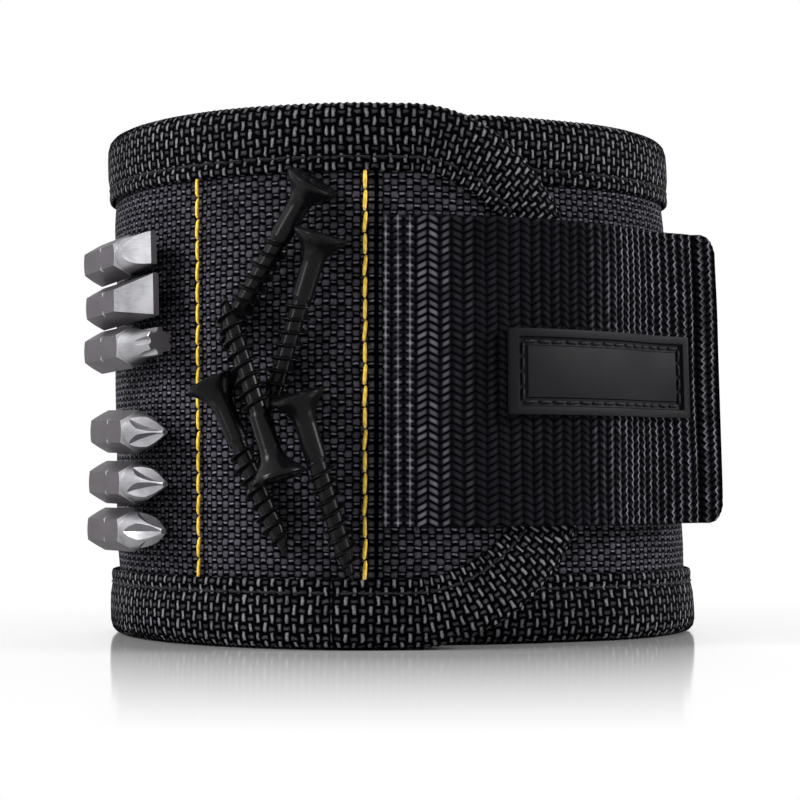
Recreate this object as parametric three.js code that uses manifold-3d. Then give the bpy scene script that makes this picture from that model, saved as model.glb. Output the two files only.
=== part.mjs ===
// A magnetic wristband closed round on itself and standing on its lower edge, with the
// wood screws and screwdriver bits that its magnets hold.
// Millimetres, +Z up. The strap and the screws face -Y, and +X is to the right of that view.
import * as THREE from "three";
import Module from "manifold-3d";
import { mergeVertices } from "three/addons/utils/BufferGeometryUtils.js";

// The loop
const bandHeight = 88;
const loopRadius = 51.2;
const seamDegrees = -94.5;
const turnStep = 15;
const facetLength = 7;
const sliverLength = 0.3;
const cornerFacets = 11;
const curveDivisions = 1200;
const weldDistance = 0.0005;

// Fabric layers
const fabricThickness = 0.8;
const liningThickness = 0.6;
const bandPaddingThickness = 3.4;
const flapPaddingThickness = 1.6;
const layerGap = 0.15;
const innerEndCorner = 14;

// Edge binding
const tapeThickness = 0.6;
const tapeWidth = 10.4;
const tapeSeamInset = 2.2;
const seamThreadRadius = 0.2;
const seamThreadSides = 4;

// Magnet pockets
const pocketHem = 1.6;
const narrowBay = 30.3;
const wideBay = 84;
const wideBayColumns = 3;
const magnetRadius = 8;
const magnetThickness = 1.5;
const magnetRowPitch = 22;
const magnetRows = 3;
const magnetClearance = 0.15;
const magnetSides = 20;
const pocketMargin = 1.6;
const pocketSlope = 1;

// Yellow stitching between the pockets
const stitchLength = 3.4;
const stitchRadius = 0.34;
const stitchDipRadius = 0.14;
const stitchSides = 5;
const stitchClearance = 0.12;

// Flap at the outer end of the band
const flapLength = 41.5;
const flapRounding = 36;
const flapTipDegrees = 49.5;
const flapStep = 1;
const flapHingeGap = 0.5;
const bandHingeGap = 0.2;
const restGap = 0.3;

// Closing strap, with the hook tape under it and the loop panel on the band
const strapHeight = 50;
const strapThickness = 1.5;
const strapRootInset = 1.3;
const strapMiddleAboveBand = 0.6;
const strapCorner = 3;
const strapEndTurn = 282;
const strapEndRise = 4.2;
const mateTurn = 296.5;
const hookThickness = 1.5;
const hookHeight = 46;
const hookFlapGap = 3;
const hookEndInset = 2.5;
const loopThickness = 1.5;
const loopStartTurn = 303;
const loopEndTurn = 266;

// Rubber label on the strap
const labelStart = 19.8;
const labelLength = 40.6;
const labelHeight = 13.9;
const labelBase = 0.8;
const labelRim = 1.3;
const labelGroove = 1.5;
const labelRimRise = 0.7;
const labelPlateRise = 0.35;
const labelWall = 0.1;
const labelThreadRadius = 0.22;
const labelClearance = 0.1;

// Wood screws
const screwLength = 31;
const screwHeadRadius = 4.4;
const screwHeadRim = 0.5;
const screwHeadDepth = 3.6;
const screwShankRadius = 1.75;
const screwShankLength = 7.5;
const screwCoreRadius = 1.4;
const screwThreadRadius = 2.4;
const screwFirstThreadRadius = 1.7;
const screwThreadPitch = 2.15;
const screwPointLength = 4.6;
const screwPointRadius = 0.15;
const screwSides = 10;
const recessWidth = 0.9;
const recessReach = 2.3;
const recessDepth = 1.8;
const overrun = 0.5;
const restingGap = 0.35;

// Screwdriver bits
const bitAcrossFlats = 6.35;
const hexSides = 6;
const bitLength = 25;
const bitShank = 13;
const bitChamfer = 0.7;
const bitNotchStart = 4.6;
const bitNotchLength = 2.6;
const bitNotchRadius = 3.28;
const bitTaper = 2.4;
const bitSides = 24;
const bladeThickness = 1.1;
const narrowBladeWidth = 5.2;
const wideBladeWidth = 7;
const bladeShoulder = 3.1;
const cheekRadius = 11;
const lobeRadius = 2.25;
const lobeDip = 0.45;
const lobeCount = 6;
const lobeLength = 5.2;
const crossRadius = 2.9;
const crossPoint = 0.8;
const crossLength = 6.4;
const fluteWidth = 2.2;
const fluteLean = 24;

const fullTurn = 360;
const quarterTurn = Math.PI / 2;
const tapeProud = layerGap + tapeThickness;
const bandDepth = fabricThickness + bandPaddingThickness + liningThickness + 2 * layerGap;
const flapDepth = fabricThickness + flapPaddingThickness + liningThickness + 2 * layerGap;
const bandMiddle = bandHeight / 2;
const hexRadius = bitAcrossFlats / Math.sqrt(3);

// The fabric's outer face goes once round from the front seam and on under the flap.
// Each share is its distance from the loop's axis, at every turnStep from one before the seam,
// and the first one only steers the curve's start.
const ringRadiusShares = [
  0.99, 0.996, 1.006, 1.012, 1.004, 0.992, 0.99, 0.994, 0.996, 0.998,
  1, 1, 1, 1, 0.998, 0.996, 0.994, 0.99, 0.986,
  0.969, 0.93, 0.883, 0.822, 0.791, 0.771, 0.768, 0.777, 0.793,
];

// Along the flap: share of the turn to its tip, share of the way from its first radius to its last.
// The first row lies before the seam and only steers the curve's start.
const flapBlendShares = [
  [-0.15, -0.04], [0, 0], [0.15, 0.08], [0.35, 0.3], [0.6, 0.72], [0.8, 0.95], [1, 1], [1.1, 1.02],
];

// Along the strap over the flap: share of the flap's length, share of the binding that it has to
// clear. The first row lies before the strap's root and only steers the curve's start.
const strapLiftShares = [
  [-0.1, 0], [0, 0], [0.2, 0.02], [0.36, 0.3], [0.52, 0.9], [0.68, 1], [0.84, 1], [1, 1],
];

const wasm = await Module();
wasm.setup();

/** The solid that a closed geometry holds, ready to be joined or cut. */
function solidOf(geometry) {
  const bare = geometry.clone();
  bare.deleteAttribute("normal");
  bare.deleteAttribute("uv");
  const merged = mergeVertices(bare, weldDistance);
  return new wasm.Manifold(new wasm.Mesh({
    numProp: 3,
    vertProperties: new Float32Array(merged.attributes.position.array),
    triVerts: new Uint32Array(merged.index.array),
  }));
}

/** A solid's surface as a geometry. */
function geometryOf(solid) {
  const mesh = solid.getMesh();
  const geometry = new THREE.BufferGeometry();
  geometry.setAttribute("position", new THREE.Float32BufferAttribute(mesh.vertProperties, 3));
  geometry.setIndex(Array.from(mesh.triVerts));
  geometry.computeVertexNormals();
  return geometry;
}

/** A curve in plan, measured from its second point, with the direction away from the loop. */
class Course {
  constructor(points, turn) {
    this.curve = new THREE.CatmullRomCurve3(points);
    this.curve.arcLengthDivisions = curveDivisions;
    this.turn = turn;
    this.intervals = points.length - 1;
    this.lead = this.lengthTo(1);
    this.length = this.curve.getLength() - this.lead;
  }

  frame(arc) {
    const share = THREE.MathUtils.clamp((arc + this.lead) / (this.length + this.lead), 0, 1);
    const along = this.curve.getTangentAt(share);
    const outward = new THREE.Vector3(-this.turn * along.y, this.turn * along.x, 0).normalize();
    return { point: this.curve.getPointAt(share), along, outward };
  }

  place(arc, offset, height) {
    const { point, outward } = this.frame(arc);
    point.addScaledVector(outward, offset);
    point.z = height;
    return point;
  }

  /** The curve's length from its very start to one of its points, counted from 0. */
  lengthTo(index) {
    const lengths = this.curve.getLengths();
    return lengths[Math.round(index / this.intervals * (lengths.length - 1))];
  }

  /** The arc at one of the curve's points, which need not be a whole number. */
  arcAt(index) {
    return this.lengthTo(index) - this.lead;
  }
}

/** A point in plan at an angle and a distance from the loop's axis. */
function polar(degrees, radius) {
  const angle = THREE.MathUtils.degToRad(degrees);
  return new THREE.Vector3(radius * Math.cos(angle), radius * Math.sin(angle), 0);
}

/** A closed body through a row of like outlines, with both ends filled as the profile is. */
function loft(rows, profile) {
  const flat = profile.map(([u, v]) => new THREE.Vector2(u, v));
  const clockwise = THREE.ShapeUtils.isClockWise(flat);
  const outlines = clockwise ? rows.map((row) => [...row].reverse()) : rows;
  const section = clockwise ? [...flat].reverse() : flat;
  const count = section.length;
  const faces = [];
  for (let row = 0; row + 1 < outlines.length; row++) {
    for (let i = 0; i < count; i++) {
      const here = row * count + i;
      const beside = row * count + (i + 1) % count;
      faces.push(here, beside, beside + count, here, beside + count, here + count);
    }
  }
  const last = (outlines.length - 1) * count;
  for (const [a, b, c] of THREE.ShapeUtils.triangulateShape(section, [])) {
    faces.push(a, c, b, last + a, last + b, last + c);
  }
  return outwardFacing(outlines.flat(), faces);
}

/** A geometry whose faces point out of the body that they close. */
function outwardFacing(points, faces) {
  let volume = 0;
  for (let i = 0; i < faces.length; i += 3) {
    const [a, b, c] = [points[faces[i]], points[faces[i + 1]], points[faces[i + 2]]];
    volume += a.dot(new THREE.Vector3().crossVectors(b, c));
  }
  const geometry = new THREE.BufferGeometry().setFromPoints(points);
  geometry.setIndex(volume < 0 ? [...faces].reverse() : faces);
  geometry.computeVertexNormals();
  return geometry;
}

/** The cut shape of a strip on its course: straight edges from its start, rounded corners at its end. */
class Blank {
  constructor({ course, start, end, cornerLength, cornerHeight, half, middle, grid }) {
    Object.assign(this, { course, start, end, cornerLength, cornerHeight, half, middle, grid });
    this.cornerStart = end - cornerLength;
    this.pointed = cornerHeight >= half;
  }

  reach(arc) {
    const along = Math.min(1, Math.max(0, arc - this.cornerStart) / this.cornerLength);
    return this.half - this.cornerHeight * (1 - Math.sqrt(1 - along * along));
  }

  /** The arcs of its straight facets, which follow the strip below where a grid gives those. */
  straightStations() {
    if (this.grid) {
      const [first, last] = [this.start + sliverLength, this.cornerStart - sliverLength];
      const between = this.grid.filter((arc) => arc > first && arc < last);
      return [this.start, ...between, this.cornerStart];
    }
    const count = Math.ceil((this.cornerStart - this.start) / facetLength);
    return Array.from({ length: count + 1 }, (_, i) => (
      THREE.MathUtils.lerp(this.start, this.cornerStart, i / count)));
  }

  cornerAngles() {
    return Array.from({ length: cornerFacets }, (_, i) => quarterTurn * (i + 1) / cornerFacets);
  }

  stations(from, to) {
    const corner = this.cornerAngles().map((angle) => this.cornerStart + this.cornerLength * Math.sin(angle));
    if (this.pointed) corner.pop();
    const all = [...this.straightStations(), ...corner];
    const first = from ?? all[0];
    const last = to ?? all[all.length - 1];
    const between = all.filter((arc) => arc > first + sliverLength / 2 && arc < last - sliverLength / 2);
    return [first, ...between, last];
  }

  /** The edge from the start along the top, round the end and back along the foot. */
  outline() {
    const top = this.straightStations().map((arc) => ({ arc, rise: this.half, inward: [0, -1] }));
    const corner = this.cornerAngles().map((angle) => {
      const [along, up] = [Math.sin(angle), Math.cos(angle)];
      const inward = new THREE.Vector2(-along / this.cornerLength, -up / this.cornerHeight);
      return {
        arc: this.cornerStart + this.cornerLength * along,
        rise: this.half - this.cornerHeight * (1 - up),
        inward: inward.normalize().toArray(),
      };
    });
    const upper = [...top, ...corner];
    const lower = upper.map(({ arc, rise, inward: [along, up] }) => (
      { arc, rise: -rise, inward: [along, -up] }));
    if (this.pointed) lower.pop();
    return [...upper, ...lower.reverse()];
  }
}

/** A sheet of a blank between two offsets from the course. */
function sheetOf(blank, { inner, outer, from, to }) {
  const rows = blank.stations(from, to).map((arc) => {
    const reach = blank.reach(arc);
    const profile = [[inner, -reach], [outer, -reach], [outer, reach], [inner, reach]];
    return profile.map(([offset, rise]) => blank.course.place(arc, offset, blank.middle + rise));
  });
  return loft(rows, [[0, 0], [1, 0], [1, 1], [0, 1]]);
}

/** A run along a blank's edge, whose profile gives the distance in from the edge and the offset. */
function edgeRun(blank, profile) {
  const rows = blank.outline().map(({ arc, rise, inward }) => profile.map(([width, offset]) => (
    blank.course.place(arc + inward[0] * width, offset, blank.middle + rise + inward[1] * width))));
  return loft(rows, profile);
}

/** The U of tape that wraps an edge of the given depth. */
function tapeProfile(depth) {
  const waist = tapeWidth / 2;
  return [
    [tapeWidth, layerGap], [waist, layerGap], [-layerGap, layerGap],
    [-layerGap, -depth - layerGap], [waist, -depth - layerGap], [tapeWidth, -depth - layerGap],
    [tapeWidth, -depth - tapeProud], [waist, -depth - tapeProud], [-tapeProud, -depth - tapeProud],
    [-tapeProud, tapeProud], [waist, tapeProud], [tapeWidth, tapeProud],
  ];
}

/** A round section of a thread. */
function threadProfile(width, offset, radius, sides) {
  return Array.from({ length: sides }, (_, i) => {
    const angle = 2 * Math.PI * i / sides;
    return [width + radius * Math.cos(angle), offset + radius * Math.sin(angle)];
  });
}

/** The thread sewn along the binding, near the tape's inner edge. */
function bindingThread(blank) {
  const offset = tapeProud + layerGap + seamThreadRadius;
  return edgeRun(blank, threadProfile(tapeWidth - tapeSeamInset, offset, seamThreadRadius, seamThreadSides));
}

// The ring's course, from the front seam to the left, round the back, and in under the flap
const ring = new Course(
  ringRadiusShares.map((share, i) => polar(seamDegrees - (i - 1) * turnStep, share * loopRadius)), 1);

/** The ring's arc after a turn in degrees from the seam. */
function ringArc(turn) {
  return ring.arcAt(1 + turn / turnStep);
}

const ringBlank = new Blank({
  course: ring, start: bandHingeGap, end: ring.length - tapeProud, middle: bandMiddle,
  half: bandMiddle - tapeProud, cornerLength: innerEndCorner, cornerHeight: innerEndCorner,
});

const pocketLength = 2 * (pocketHem + narrowBay) + wideBay;
const bayEdges = [0, narrowBay, narrowBay + wideBay, 2 * narrowBay + wideBay].map((arc) => pocketHem + arc);
const widePitch = wideBay / wideBayColumns;
const magnetColumns = [
  pocketHem + narrowBay / 2,
  ...Array.from({ length: wideBayColumns }, (_, i) => bayEdges[1] + widePitch * (i + 1 / 2)),
  bayEdges[2] + narrowBay / 2,
];

/** How far the fabric's inner face bows past a flat magnet, outwards from its middle. */
function bowOver(arc) {
  const { point, outward } = ring.frame(arc);
  const drops = [-magnetRadius, magnetRadius].map((step) => (
    point.clone().sub(ring.frame(arc + step).point).dot(outward)));
  return Math.max(...drops);
}

const deepestBow = Math.max(...magnetColumns.map(bowOver));
const pocketDepth = magnetThickness + deepestBow + 2 * magnetClearance + layerGap;
const pocketReach = magnetRowPitch * (magnetRows - 1) / 2 + magnetRadius + pocketMargin;

/** The foam of the band, thinned to a shallow tray where the magnets lie. */
function bandPadding() {
  const outer = -fabricThickness - layerGap;
  const inner = outer - bandPaddingThickness;
  const trayEnds = [magnetColumns[0], magnetColumns[magnetColumns.length - 1]]
    .map((arc, i) => arc + (magnetRadius + pocketMargin) * (i ? 1 : -1));
  const sectionAt = (arc) => {
    const reach = ringBlank.reach(arc);
    const past = Math.max(trayEnds[0] - arc, arc - trayEnds[1], 0);
    const floor = outer - pocketDepth * Math.max(0, 1 - past / facetLength);
    const lip = Math.min(pocketReach, reach - pocketSlope);
    return [
      [inner, -reach], [outer, -reach], [outer, -lip - pocketSlope / 2], [floor, -lip],
      [floor, lip], [outer, lip + pocketSlope / 2], [outer, reach], [inner, reach],
    ];
  };
  const rows = ringBlank.stations().map((arc) => (
    sectionAt(arc).map(([offset, rise]) => ring.place(arc, offset, bandMiddle + rise))));
  return loft(rows, sectionAt(magnetColumns[0]));
}

// The flap's course starts a step below the pocket panel and passes over the ring's inner turn
const flapTurn = fullTurn - flapTipDegrees;
const flapStartRadius = ringRadiusShares[1] * loopRadius - flapStep;
const radiusUnderTip = ring.place(ringArc(flapTurn), 0, 0).length();
const flapEndRadius = radiusUnderTip + tapeProud + restGap + flapDepth + tapeProud;
const flap = new Course(flapBlendShares.map(([turn, blend]) => polar(
  seamDegrees + turn * flapTipDegrees, THREE.MathUtils.lerp(flapStartRadius, flapEndRadius, blend))), -1);
const flapBlank = new Blank({
  course: flap, start: flapHingeGap, end: flapLength - tapeProud, middle: bandMiddle,
  half: bandMiddle - tapeProud, cornerLength: flapRounding - tapeProud, cornerHeight: bandMiddle - tapeProud,
});

// The strap's course is its inner face: over the flap, down towards the ring, and on past it
const strapClearance = tapeProud + layerGap + 2 * seamThreadRadius + layerGap;
const strapOverFlap = strapLiftShares.map(([along, lift]) => (
  flap.place(strapRootInset + along * (flapLength - strapRootInset), restGap + lift * strapClearance, 0)));
const strapMate = ring.place(ringArc(mateTurn), 2 * layerGap + loopThickness + restGap + hookThickness, 0);
const strapEnd = ring.place(
  ringArc(strapEndTurn), 2 * layerGap + loopThickness + restGap + hookThickness + strapEndRise, 0);
const strap = new Course([...strapOverFlap, strapMate, strapEnd], -1);
const strapMiddle = bandMiddle + strapMiddleAboveBand;
const strapBlank = new Blank({
  course: strap, start: 0, end: strap.length, middle: strapMiddle,
  half: strapHeight / 2, cornerLength: strapCorner, cornerHeight: strapCorner,
});
const flapTipOnStrap = strap.arcAt(strapOverFlap.length - 1);

/** A rectangular patch sewn to a strip, by its arcs and height. */
function patch(below, { start, end, height, inner, outer, middle }) {
  const blank = new Blank({
    course: below.course, start, end, middle, half: height / 2,
    cornerLength: strapCorner, cornerHeight: strapCorner, grid: below.straightStations(),
  });
  return sheetOf(blank, { inner, outer });
}

/** One row of yellow stitches, a single thread that swells in each stitch and narrows at each hole. */
function stitchRow(arc) {
  const reach = bandMiddle - tapeProud - tapeWidth - layerGap;
  const count = Math.floor(2 * reach / stitchLength);
  const low = bandMiddle - count * stitchLength / 2;
  const swellShares = [0, 0.22, 0.78];
  const rows = [];
  const addRow = (height, radius) => rows.push(
    threadProfile(0, 0, radius, stitchSides).map(([side, out]) => (
      ring.place(arc + side, stitchClearance + radius + out, height))));
  for (let i = 0; i < count; i++) {
    swellShares.forEach((share, j) => (
      addRow(low + (i + share) * stitchLength, j ? stitchRadius : stitchDipRadius)));
  }
  addRow(low + count * stitchLength, stitchDipRadius);
  return loft(rows, threadProfile(0, 0, 1, stitchSides));
}

/** How far along the label the facets of the strap below it end, clear of both its ends. */
function labelStations(inset) {
  return strapBlank.straightStations().map((arc) => arc - labelStart)
    .filter((along) => along > inset && along < labelLength - inset);
}

/** The moulded label: a base, a raised rim all round, a sewing groove and a raised plate. */
function labelGeometry() {
  const rim = labelRim;
  const groove = rim + labelGroove;
  const steps = [0, rim, rim + labelWall, groove, groove + labelWall];
  const rises = [labelRimRise, labelRimRise, 0, 0, labelPlateRise];
  const plateSteps = labelStations(groove + 2 * labelWall);
  const across = [...steps, ...plateSteps, ...steps.map((step) => labelLength - step).reverse()];
  const up = [...steps, ...steps.map((step) => labelHeight - step).reverse()];
  const riseAt = (distance) => {
    const step = steps.findLastIndex((edge) => distance >= edge - labelWall / 2);
    return rises[step];
  };
  const points = [];
  const foot = strapThickness + labelClearance;
  for (const top of [false, true]) {
    for (const along of across) {
      for (const rise of up) {
        const edge = Math.min(along, labelLength - along, rise, labelHeight - rise);
        const offset = foot + (top ? labelBase + riseAt(edge) : 0);
        points.push(strap.place(labelStart + along, offset, strapMiddle + rise - labelHeight / 2));
      }
    }
  }
  return gridBody(points, across.length, up.length);
}

/** A closed body between two grids of points, the lower grid first. */
function gridBody(points, columns, rows) {
  const faces = [];
  const at = (column, row, top) => (top ? columns * rows : 0) + column * rows + row;
  const quad = (a, b, c, d) => faces.push(a, b, c, a, c, d);
  for (let i = 0; i + 1 < columns; i++) {
    for (let j = 0; j + 1 < rows; j++) {
      quad(at(i, j, true), at(i + 1, j, true), at(i + 1, j + 1, true), at(i, j + 1, true));
      quad(at(i, j, false), at(i, j + 1, false), at(i + 1, j + 1, false), at(i + 1, j, false));
    }
  }
  const [end, side] = [columns - 1, rows - 1];
  for (let i = 0; i < end; i++) {
    quad(at(i, 0, false), at(i + 1, 0, false), at(i + 1, 0, true), at(i, 0, true));
    quad(at(i + 1, side, false), at(i, side, false), at(i, side, true), at(i + 1, side, true));
  }
  for (let j = 0; j < side; j++) {
    quad(at(0, j + 1, false), at(0, j, false), at(0, j, true), at(0, j + 1, true));
    quad(at(end, j, false), at(end, j + 1, false), at(end, j + 1, true), at(end, j, true));
  }
  return outwardFacing(points, faces);
}

/** A lathe turned about +Z. */
function turned(profile, sides) {
  const geometry = new THREE.LatheGeometry(profile.map(([r, h]) => new THREE.Vector2(r, h)), sides);
  return geometry.rotateX(quarterTurn);
}

/** A screw along +Z, its point at the origin and its head's flat face at its length. */
function screwGeometry() {
  const headBase = screwLength - screwHeadDepth;
  const threadTop = headBase - screwShankLength;
  const threads = Math.floor((threadTop - screwPointLength) / screwThreadPitch);
  const profile = [[0, 0], [screwPointRadius, 0]];
  const firstThread = threadTop - threads * screwThreadPitch;
  profile.push([(screwCoreRadius + screwPointRadius) / 2, firstThread / 2]);
  profile.push([screwFirstThreadRadius, firstThread / 2 + screwThreadPitch / 4]);
  for (let i = 0; i < threads; i++) {
    const low = firstThread + i * screwThreadPitch;
    profile.push([screwCoreRadius, low], [screwThreadRadius, low + screwThreadPitch / 2]);
  }
  profile.push([screwCoreRadius, threadTop], [screwShankRadius, threadTop + screwThreadPitch / 4]);
  profile.push([screwShankRadius, headBase]);
  profile.push([(screwShankRadius + screwHeadRadius) / 2 - screwHeadRim / 2, headBase + screwHeadDepth / 2]);
  profile.push([screwHeadRadius, screwLength - screwHeadRim], [screwHeadRadius, screwLength]);
  profile.push([0, screwLength]);
  const body = solidOf(turned(profile, screwSides));
  const slots = [[recessReach, recessWidth], [recessWidth, recessReach]].map(([width, height]) => (
    solidOf(new THREE.BoxGeometry(2 * width, 2 * height, 2 * recessDepth).translate(0, 0, screwLength))));
  return geometryOf(body.subtract(slots[0]).subtract(slots[1]));
}

/** A hexagonal bar about +Z with its flats towards +Y and -Y. */
function hexBar(length) {
  const bar = new THREE.CylinderGeometry(hexRadius, hexRadius, length, hexSides);
  return bar.rotateY(quarterTurn).rotateX(quarterTurn);
}

/** The hexagonal shank of a bit, chamfered at its rear, notched at its corners and tapered in front. */
function bitShankSolid(frontRadius) {
  const hex = hexBar(bitShank + bitTaper).translate(0, 0, (bitShank + bitTaper) / 2);
  const full = hexRadius + overrun;
  const notchSlope = bitNotchLength / 3;
  const notchEnd = bitNotchStart + bitNotchLength;
  const envelope = turned([
    [0, -overrun], [hexRadius - bitChamfer - overrun, -overrun], [hexRadius, bitChamfer],
    [full, bitChamfer + overrun], [full, bitNotchStart],
    [bitNotchRadius, bitNotchStart + notchSlope], [bitNotchRadius, notchEnd - notchSlope],
    [full, notchEnd], [full, bitShank], [frontRadius, bitShank + bitTaper],
    [frontRadius, bitShank + bitTaper + overrun], [0, bitShank + bitTaper + overrun],
  ], bitSides);
  return solidOf(hex).intersect(solidOf(envelope));
}

/** The front of a bit's bar, from which a blade is cut. */
function bitBar() {
  return solidOf(hexBar(bitLength - bitShank).translate(0, 0, (bitLength + bitShank) / 2));
}

/** A slotted bit whose two cheeks are hollow-ground by a round wheel. */
function roundCheekBit() {
  let blade = bitBar();
  const centre = bladeThickness / 2 + cheekRadius;
  for (const side of [-1, 1]) {
    const wheel = new THREE.CylinderGeometry(cheekRadius, cheekRadius, 4 * hexRadius, 2 * bitSides)
      .rotateZ(quarterTurn).translate(0, side * centre, bitLength - bladeShoulder / 2);
    blade = blade.subtract(solidOf(wheel));
  }
  const limit = new THREE.BoxGeometry(narrowBladeWidth, 4 * hexRadius, 2 * bladeShoulder)
    .translate(0, 0, bitLength);
  const tip = blade.intersect(solidOf(limit));
  const rest = new THREE.BoxGeometry(4 * hexRadius, 4 * hexRadius, bitLength)
    .translate(0, 0, bitLength / 2 - bladeShoulder);
  return geometryOf(bitShankSolid(hexRadius + overrun).add(blade.intersect(solidOf(rest))).add(tip));
}

/** A slotted bit whose two cheeks are flat and meet the hexagon in a straight shoulder. */
function flatCheekBit() {
  let blade = bitBar();
  const slopeLength = bitLength - bitShank - bladeShoulder;
  for (const side of [-1, 1]) {
    const thin = side * bladeThickness / 2;
    const wide = side * (bitAcrossFlats / 2 + overrun);
    const cheek = new THREE.Shape([
      new THREE.Vector2(thin, bitLength + overrun), new THREE.Vector2(thin, bitLength - bladeShoulder / 2),
      new THREE.Vector2(wide, bitLength - slopeLength), new THREE.Vector2(wide, bitLength + overrun),
    ]);
    const cut = new THREE.ExtrudeGeometry(cheek, { depth: 4 * hexRadius, bevelEnabled: false })
      .translate(0, 0, -2 * hexRadius).rotateY(quarterTurn).rotateX(quarterTurn);
    blade = blade.subtract(solidOf(cut));
  }
  const limit = new THREE.BoxGeometry(wideBladeWidth, 4 * hexRadius, 2 * (bitLength - bitShank))
    .translate(0, 0, bitLength);
  return geometryOf(bitShankSolid(hexRadius + overrun).add(blade.intersect(solidOf(limit))));
}

/** A bit with a six-lobed, flat-ended tip. */
function lobedBit() {
  const outline = Array.from({ length: 4 * lobeCount }, (_, i) => {
    const angle = 2 * Math.PI * i / (4 * lobeCount);
    const radius = lobeRadius - lobeDip / 2 + lobeDip / 2 * Math.cos(lobeCount * angle);
    return new THREE.Vector2(radius * Math.cos(angle), radius * Math.sin(angle));
  });
  const star = new THREE.ExtrudeGeometry(new THREE.Shape(outline), { depth: lobeLength, bevelEnabled: false })
    .translate(0, 0, bitLength - lobeLength);
  const neckLow = bitShank + bitTaper - overrun;
  const neck = turned([
    [0, neckLow], [lobeRadius + overrun, neckLow], [lobeRadius + overrun / 2, bitLength - lobeLength],
    [0, bitLength - lobeLength + overrun],
  ], bitSides);
  return geometryOf(bitShankSolid(lobeRadius + overrun).add(solidOf(neck)).add(solidOf(star)));
}

/** A bit with four wings that meet in a blunt point. */
function crossBit() {
  const neckLow = bitShank + bitTaper - overrun;
  const cone = turned([
    [0, neckLow], [crossRadius, neckLow], [crossRadius, bitLength - crossLength],
    [crossPoint, bitLength], [0, bitLength],
  ], bitSides);
  let tip = solidOf(cone);
  const lean = THREE.MathUtils.degToRad(fluteLean);
  for (let i = 0; i < 4; i++) {
    const flute = new THREE.BoxGeometry(fluteWidth, fluteWidth, 2 * crossLength)
      .rotateZ(quarterTurn / 2)
      .translate(fluteWidth, 0, 0)
      .rotateY(-lean)
      .translate(0, 0, bitLength)
      .rotateZ(quarterTurn * (i + 1 / 2));
    tip = tip.subtract(solidOf(flute));
  }
  return geometryOf(bitShankSolid(crossRadius).add(tip));
}

const wristband = new THREE.Group();

const finishes = {
  fabric: new THREE.MeshStandardMaterial({ color: 0x1b1c20, roughness: 0.85, metalness: 0 }),
  padding: new THREE.MeshStandardMaterial({ color: 0x2a2a2c, roughness: 0.95, metalness: 0 }),
  lining: new THREE.MeshStandardMaterial({ color: 0x151517, roughness: 0.95, metalness: 0 }),
  tape: new THREE.MeshStandardMaterial({ color: 0x121214, roughness: 0.7, metalness: 0 }),
  webbing: new THREE.MeshStandardMaterial({ color: 0x141416, roughness: 0.65, metalness: 0 }),
  hookAndLoop: new THREE.MeshStandardMaterial({ color: 0x101012, roughness: 0.95, metalness: 0 }),
  yellowThread: new THREE.MeshStandardMaterial({ color: 0xe8b42a, roughness: 0.6, metalness: 0 }),
  blackThread: new THREE.MeshStandardMaterial({ color: 0x0d0d0f, roughness: 0.7, metalness: 0 }),
  label: new THREE.MeshStandardMaterial({ color: 0x1e1e20, roughness: 0.55, metalness: 0 }),
  magnet: new THREE.MeshStandardMaterial({ color: 0xb8babd, roughness: 0.3, metalness: 1 }),
  blackSteel: new THREE.MeshStandardMaterial({ color: 0x17181a, roughness: 0.4, metalness: 0.7 }),
  bitSteel: new THREE.MeshStandardMaterial({ color: 0xa9a7a5, roughness: 0.42, metalness: 1 }),
};

/** Adds one named piece to the wristband. */
function addPiece(name, geometry, material) {
  const piece = new THREE.Mesh(geometry, material);
  piece.name = name;
  wristband.add(piece);
  return piece;
}

/** Adds the band: pocket panel, outer shell, foam, lining, binding and its thread. */
function addBand() {
  const face = { outer: 0, inner: -fabricThickness };
  const foamInner = -fabricThickness - layerGap - bandPaddingThickness;
  addPiece("pocket_panel", sheetOf(ringBlank, { ...face, to: pocketLength }), finishes.fabric);
  addPiece("outer_shell", sheetOf(ringBlank, { ...face, from: pocketLength + restGap }), finishes.fabric);
  addPiece("band_padding", bandPadding(), finishes.padding);
  const lining = { outer: foamInner - layerGap, inner: -bandDepth };
  addPiece("band_lining", sheetOf(ringBlank, lining), finishes.lining);
  addPiece("band_binding", edgeRun(ringBlank, tapeProfile(bandDepth)), finishes.tape);
  addPiece("band_binding_thread", bindingThread(ringBlank), finishes.blackThread);
}

/** Adds the magnets, column by column, each flat in its pocket. */
function addMagnets() {
  magnetColumns.forEach((arc, column) => {
    const { outward } = ring.frame(arc);
    for (let row = 0; row < magnetRows; row++) {
      const disc = new THREE.CylinderGeometry(magnetRadius, magnetRadius, magnetThickness, magnetSides);
      const magnet = addPiece(`magnet_${column + 1}_${row + 1}`, disc, finishes.magnet);
      const depth = fabricThickness + magnetClearance + bowOver(arc) + magnetThickness / 2;
      const height = bandMiddle + (row - (magnetRows - 1) / 2) * magnetRowPitch;
      magnet.position.copy(ring.place(arc, -depth, height));
      magnet.quaternion.setFromUnitVectors(new THREE.Vector3(0, 1, 0), outward);
    }
  });
}

/** Adds the flap at the band's outer end, layer by layer as the band is. */
function addFlap() {
  const foamOuter = -fabricThickness - layerGap;
  const foamInner = foamOuter - flapPaddingThickness;
  addPiece("flap_shell", sheetOf(flapBlank, { outer: 0, inner: -fabricThickness }), finishes.fabric);
  addPiece("flap_padding", sheetOf(flapBlank, { outer: foamOuter, inner: foamInner }), finishes.padding);
  const lining = { outer: foamInner - layerGap, inner: -flapDepth };
  addPiece("flap_lining", sheetOf(flapBlank, lining), finishes.lining);
  addPiece("flap_binding", edgeRun(flapBlank, tapeProfile(flapDepth)), finishes.tape);
  addPiece("flap_binding_thread", bindingThread(flapBlank), finishes.blackThread);
}

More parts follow.
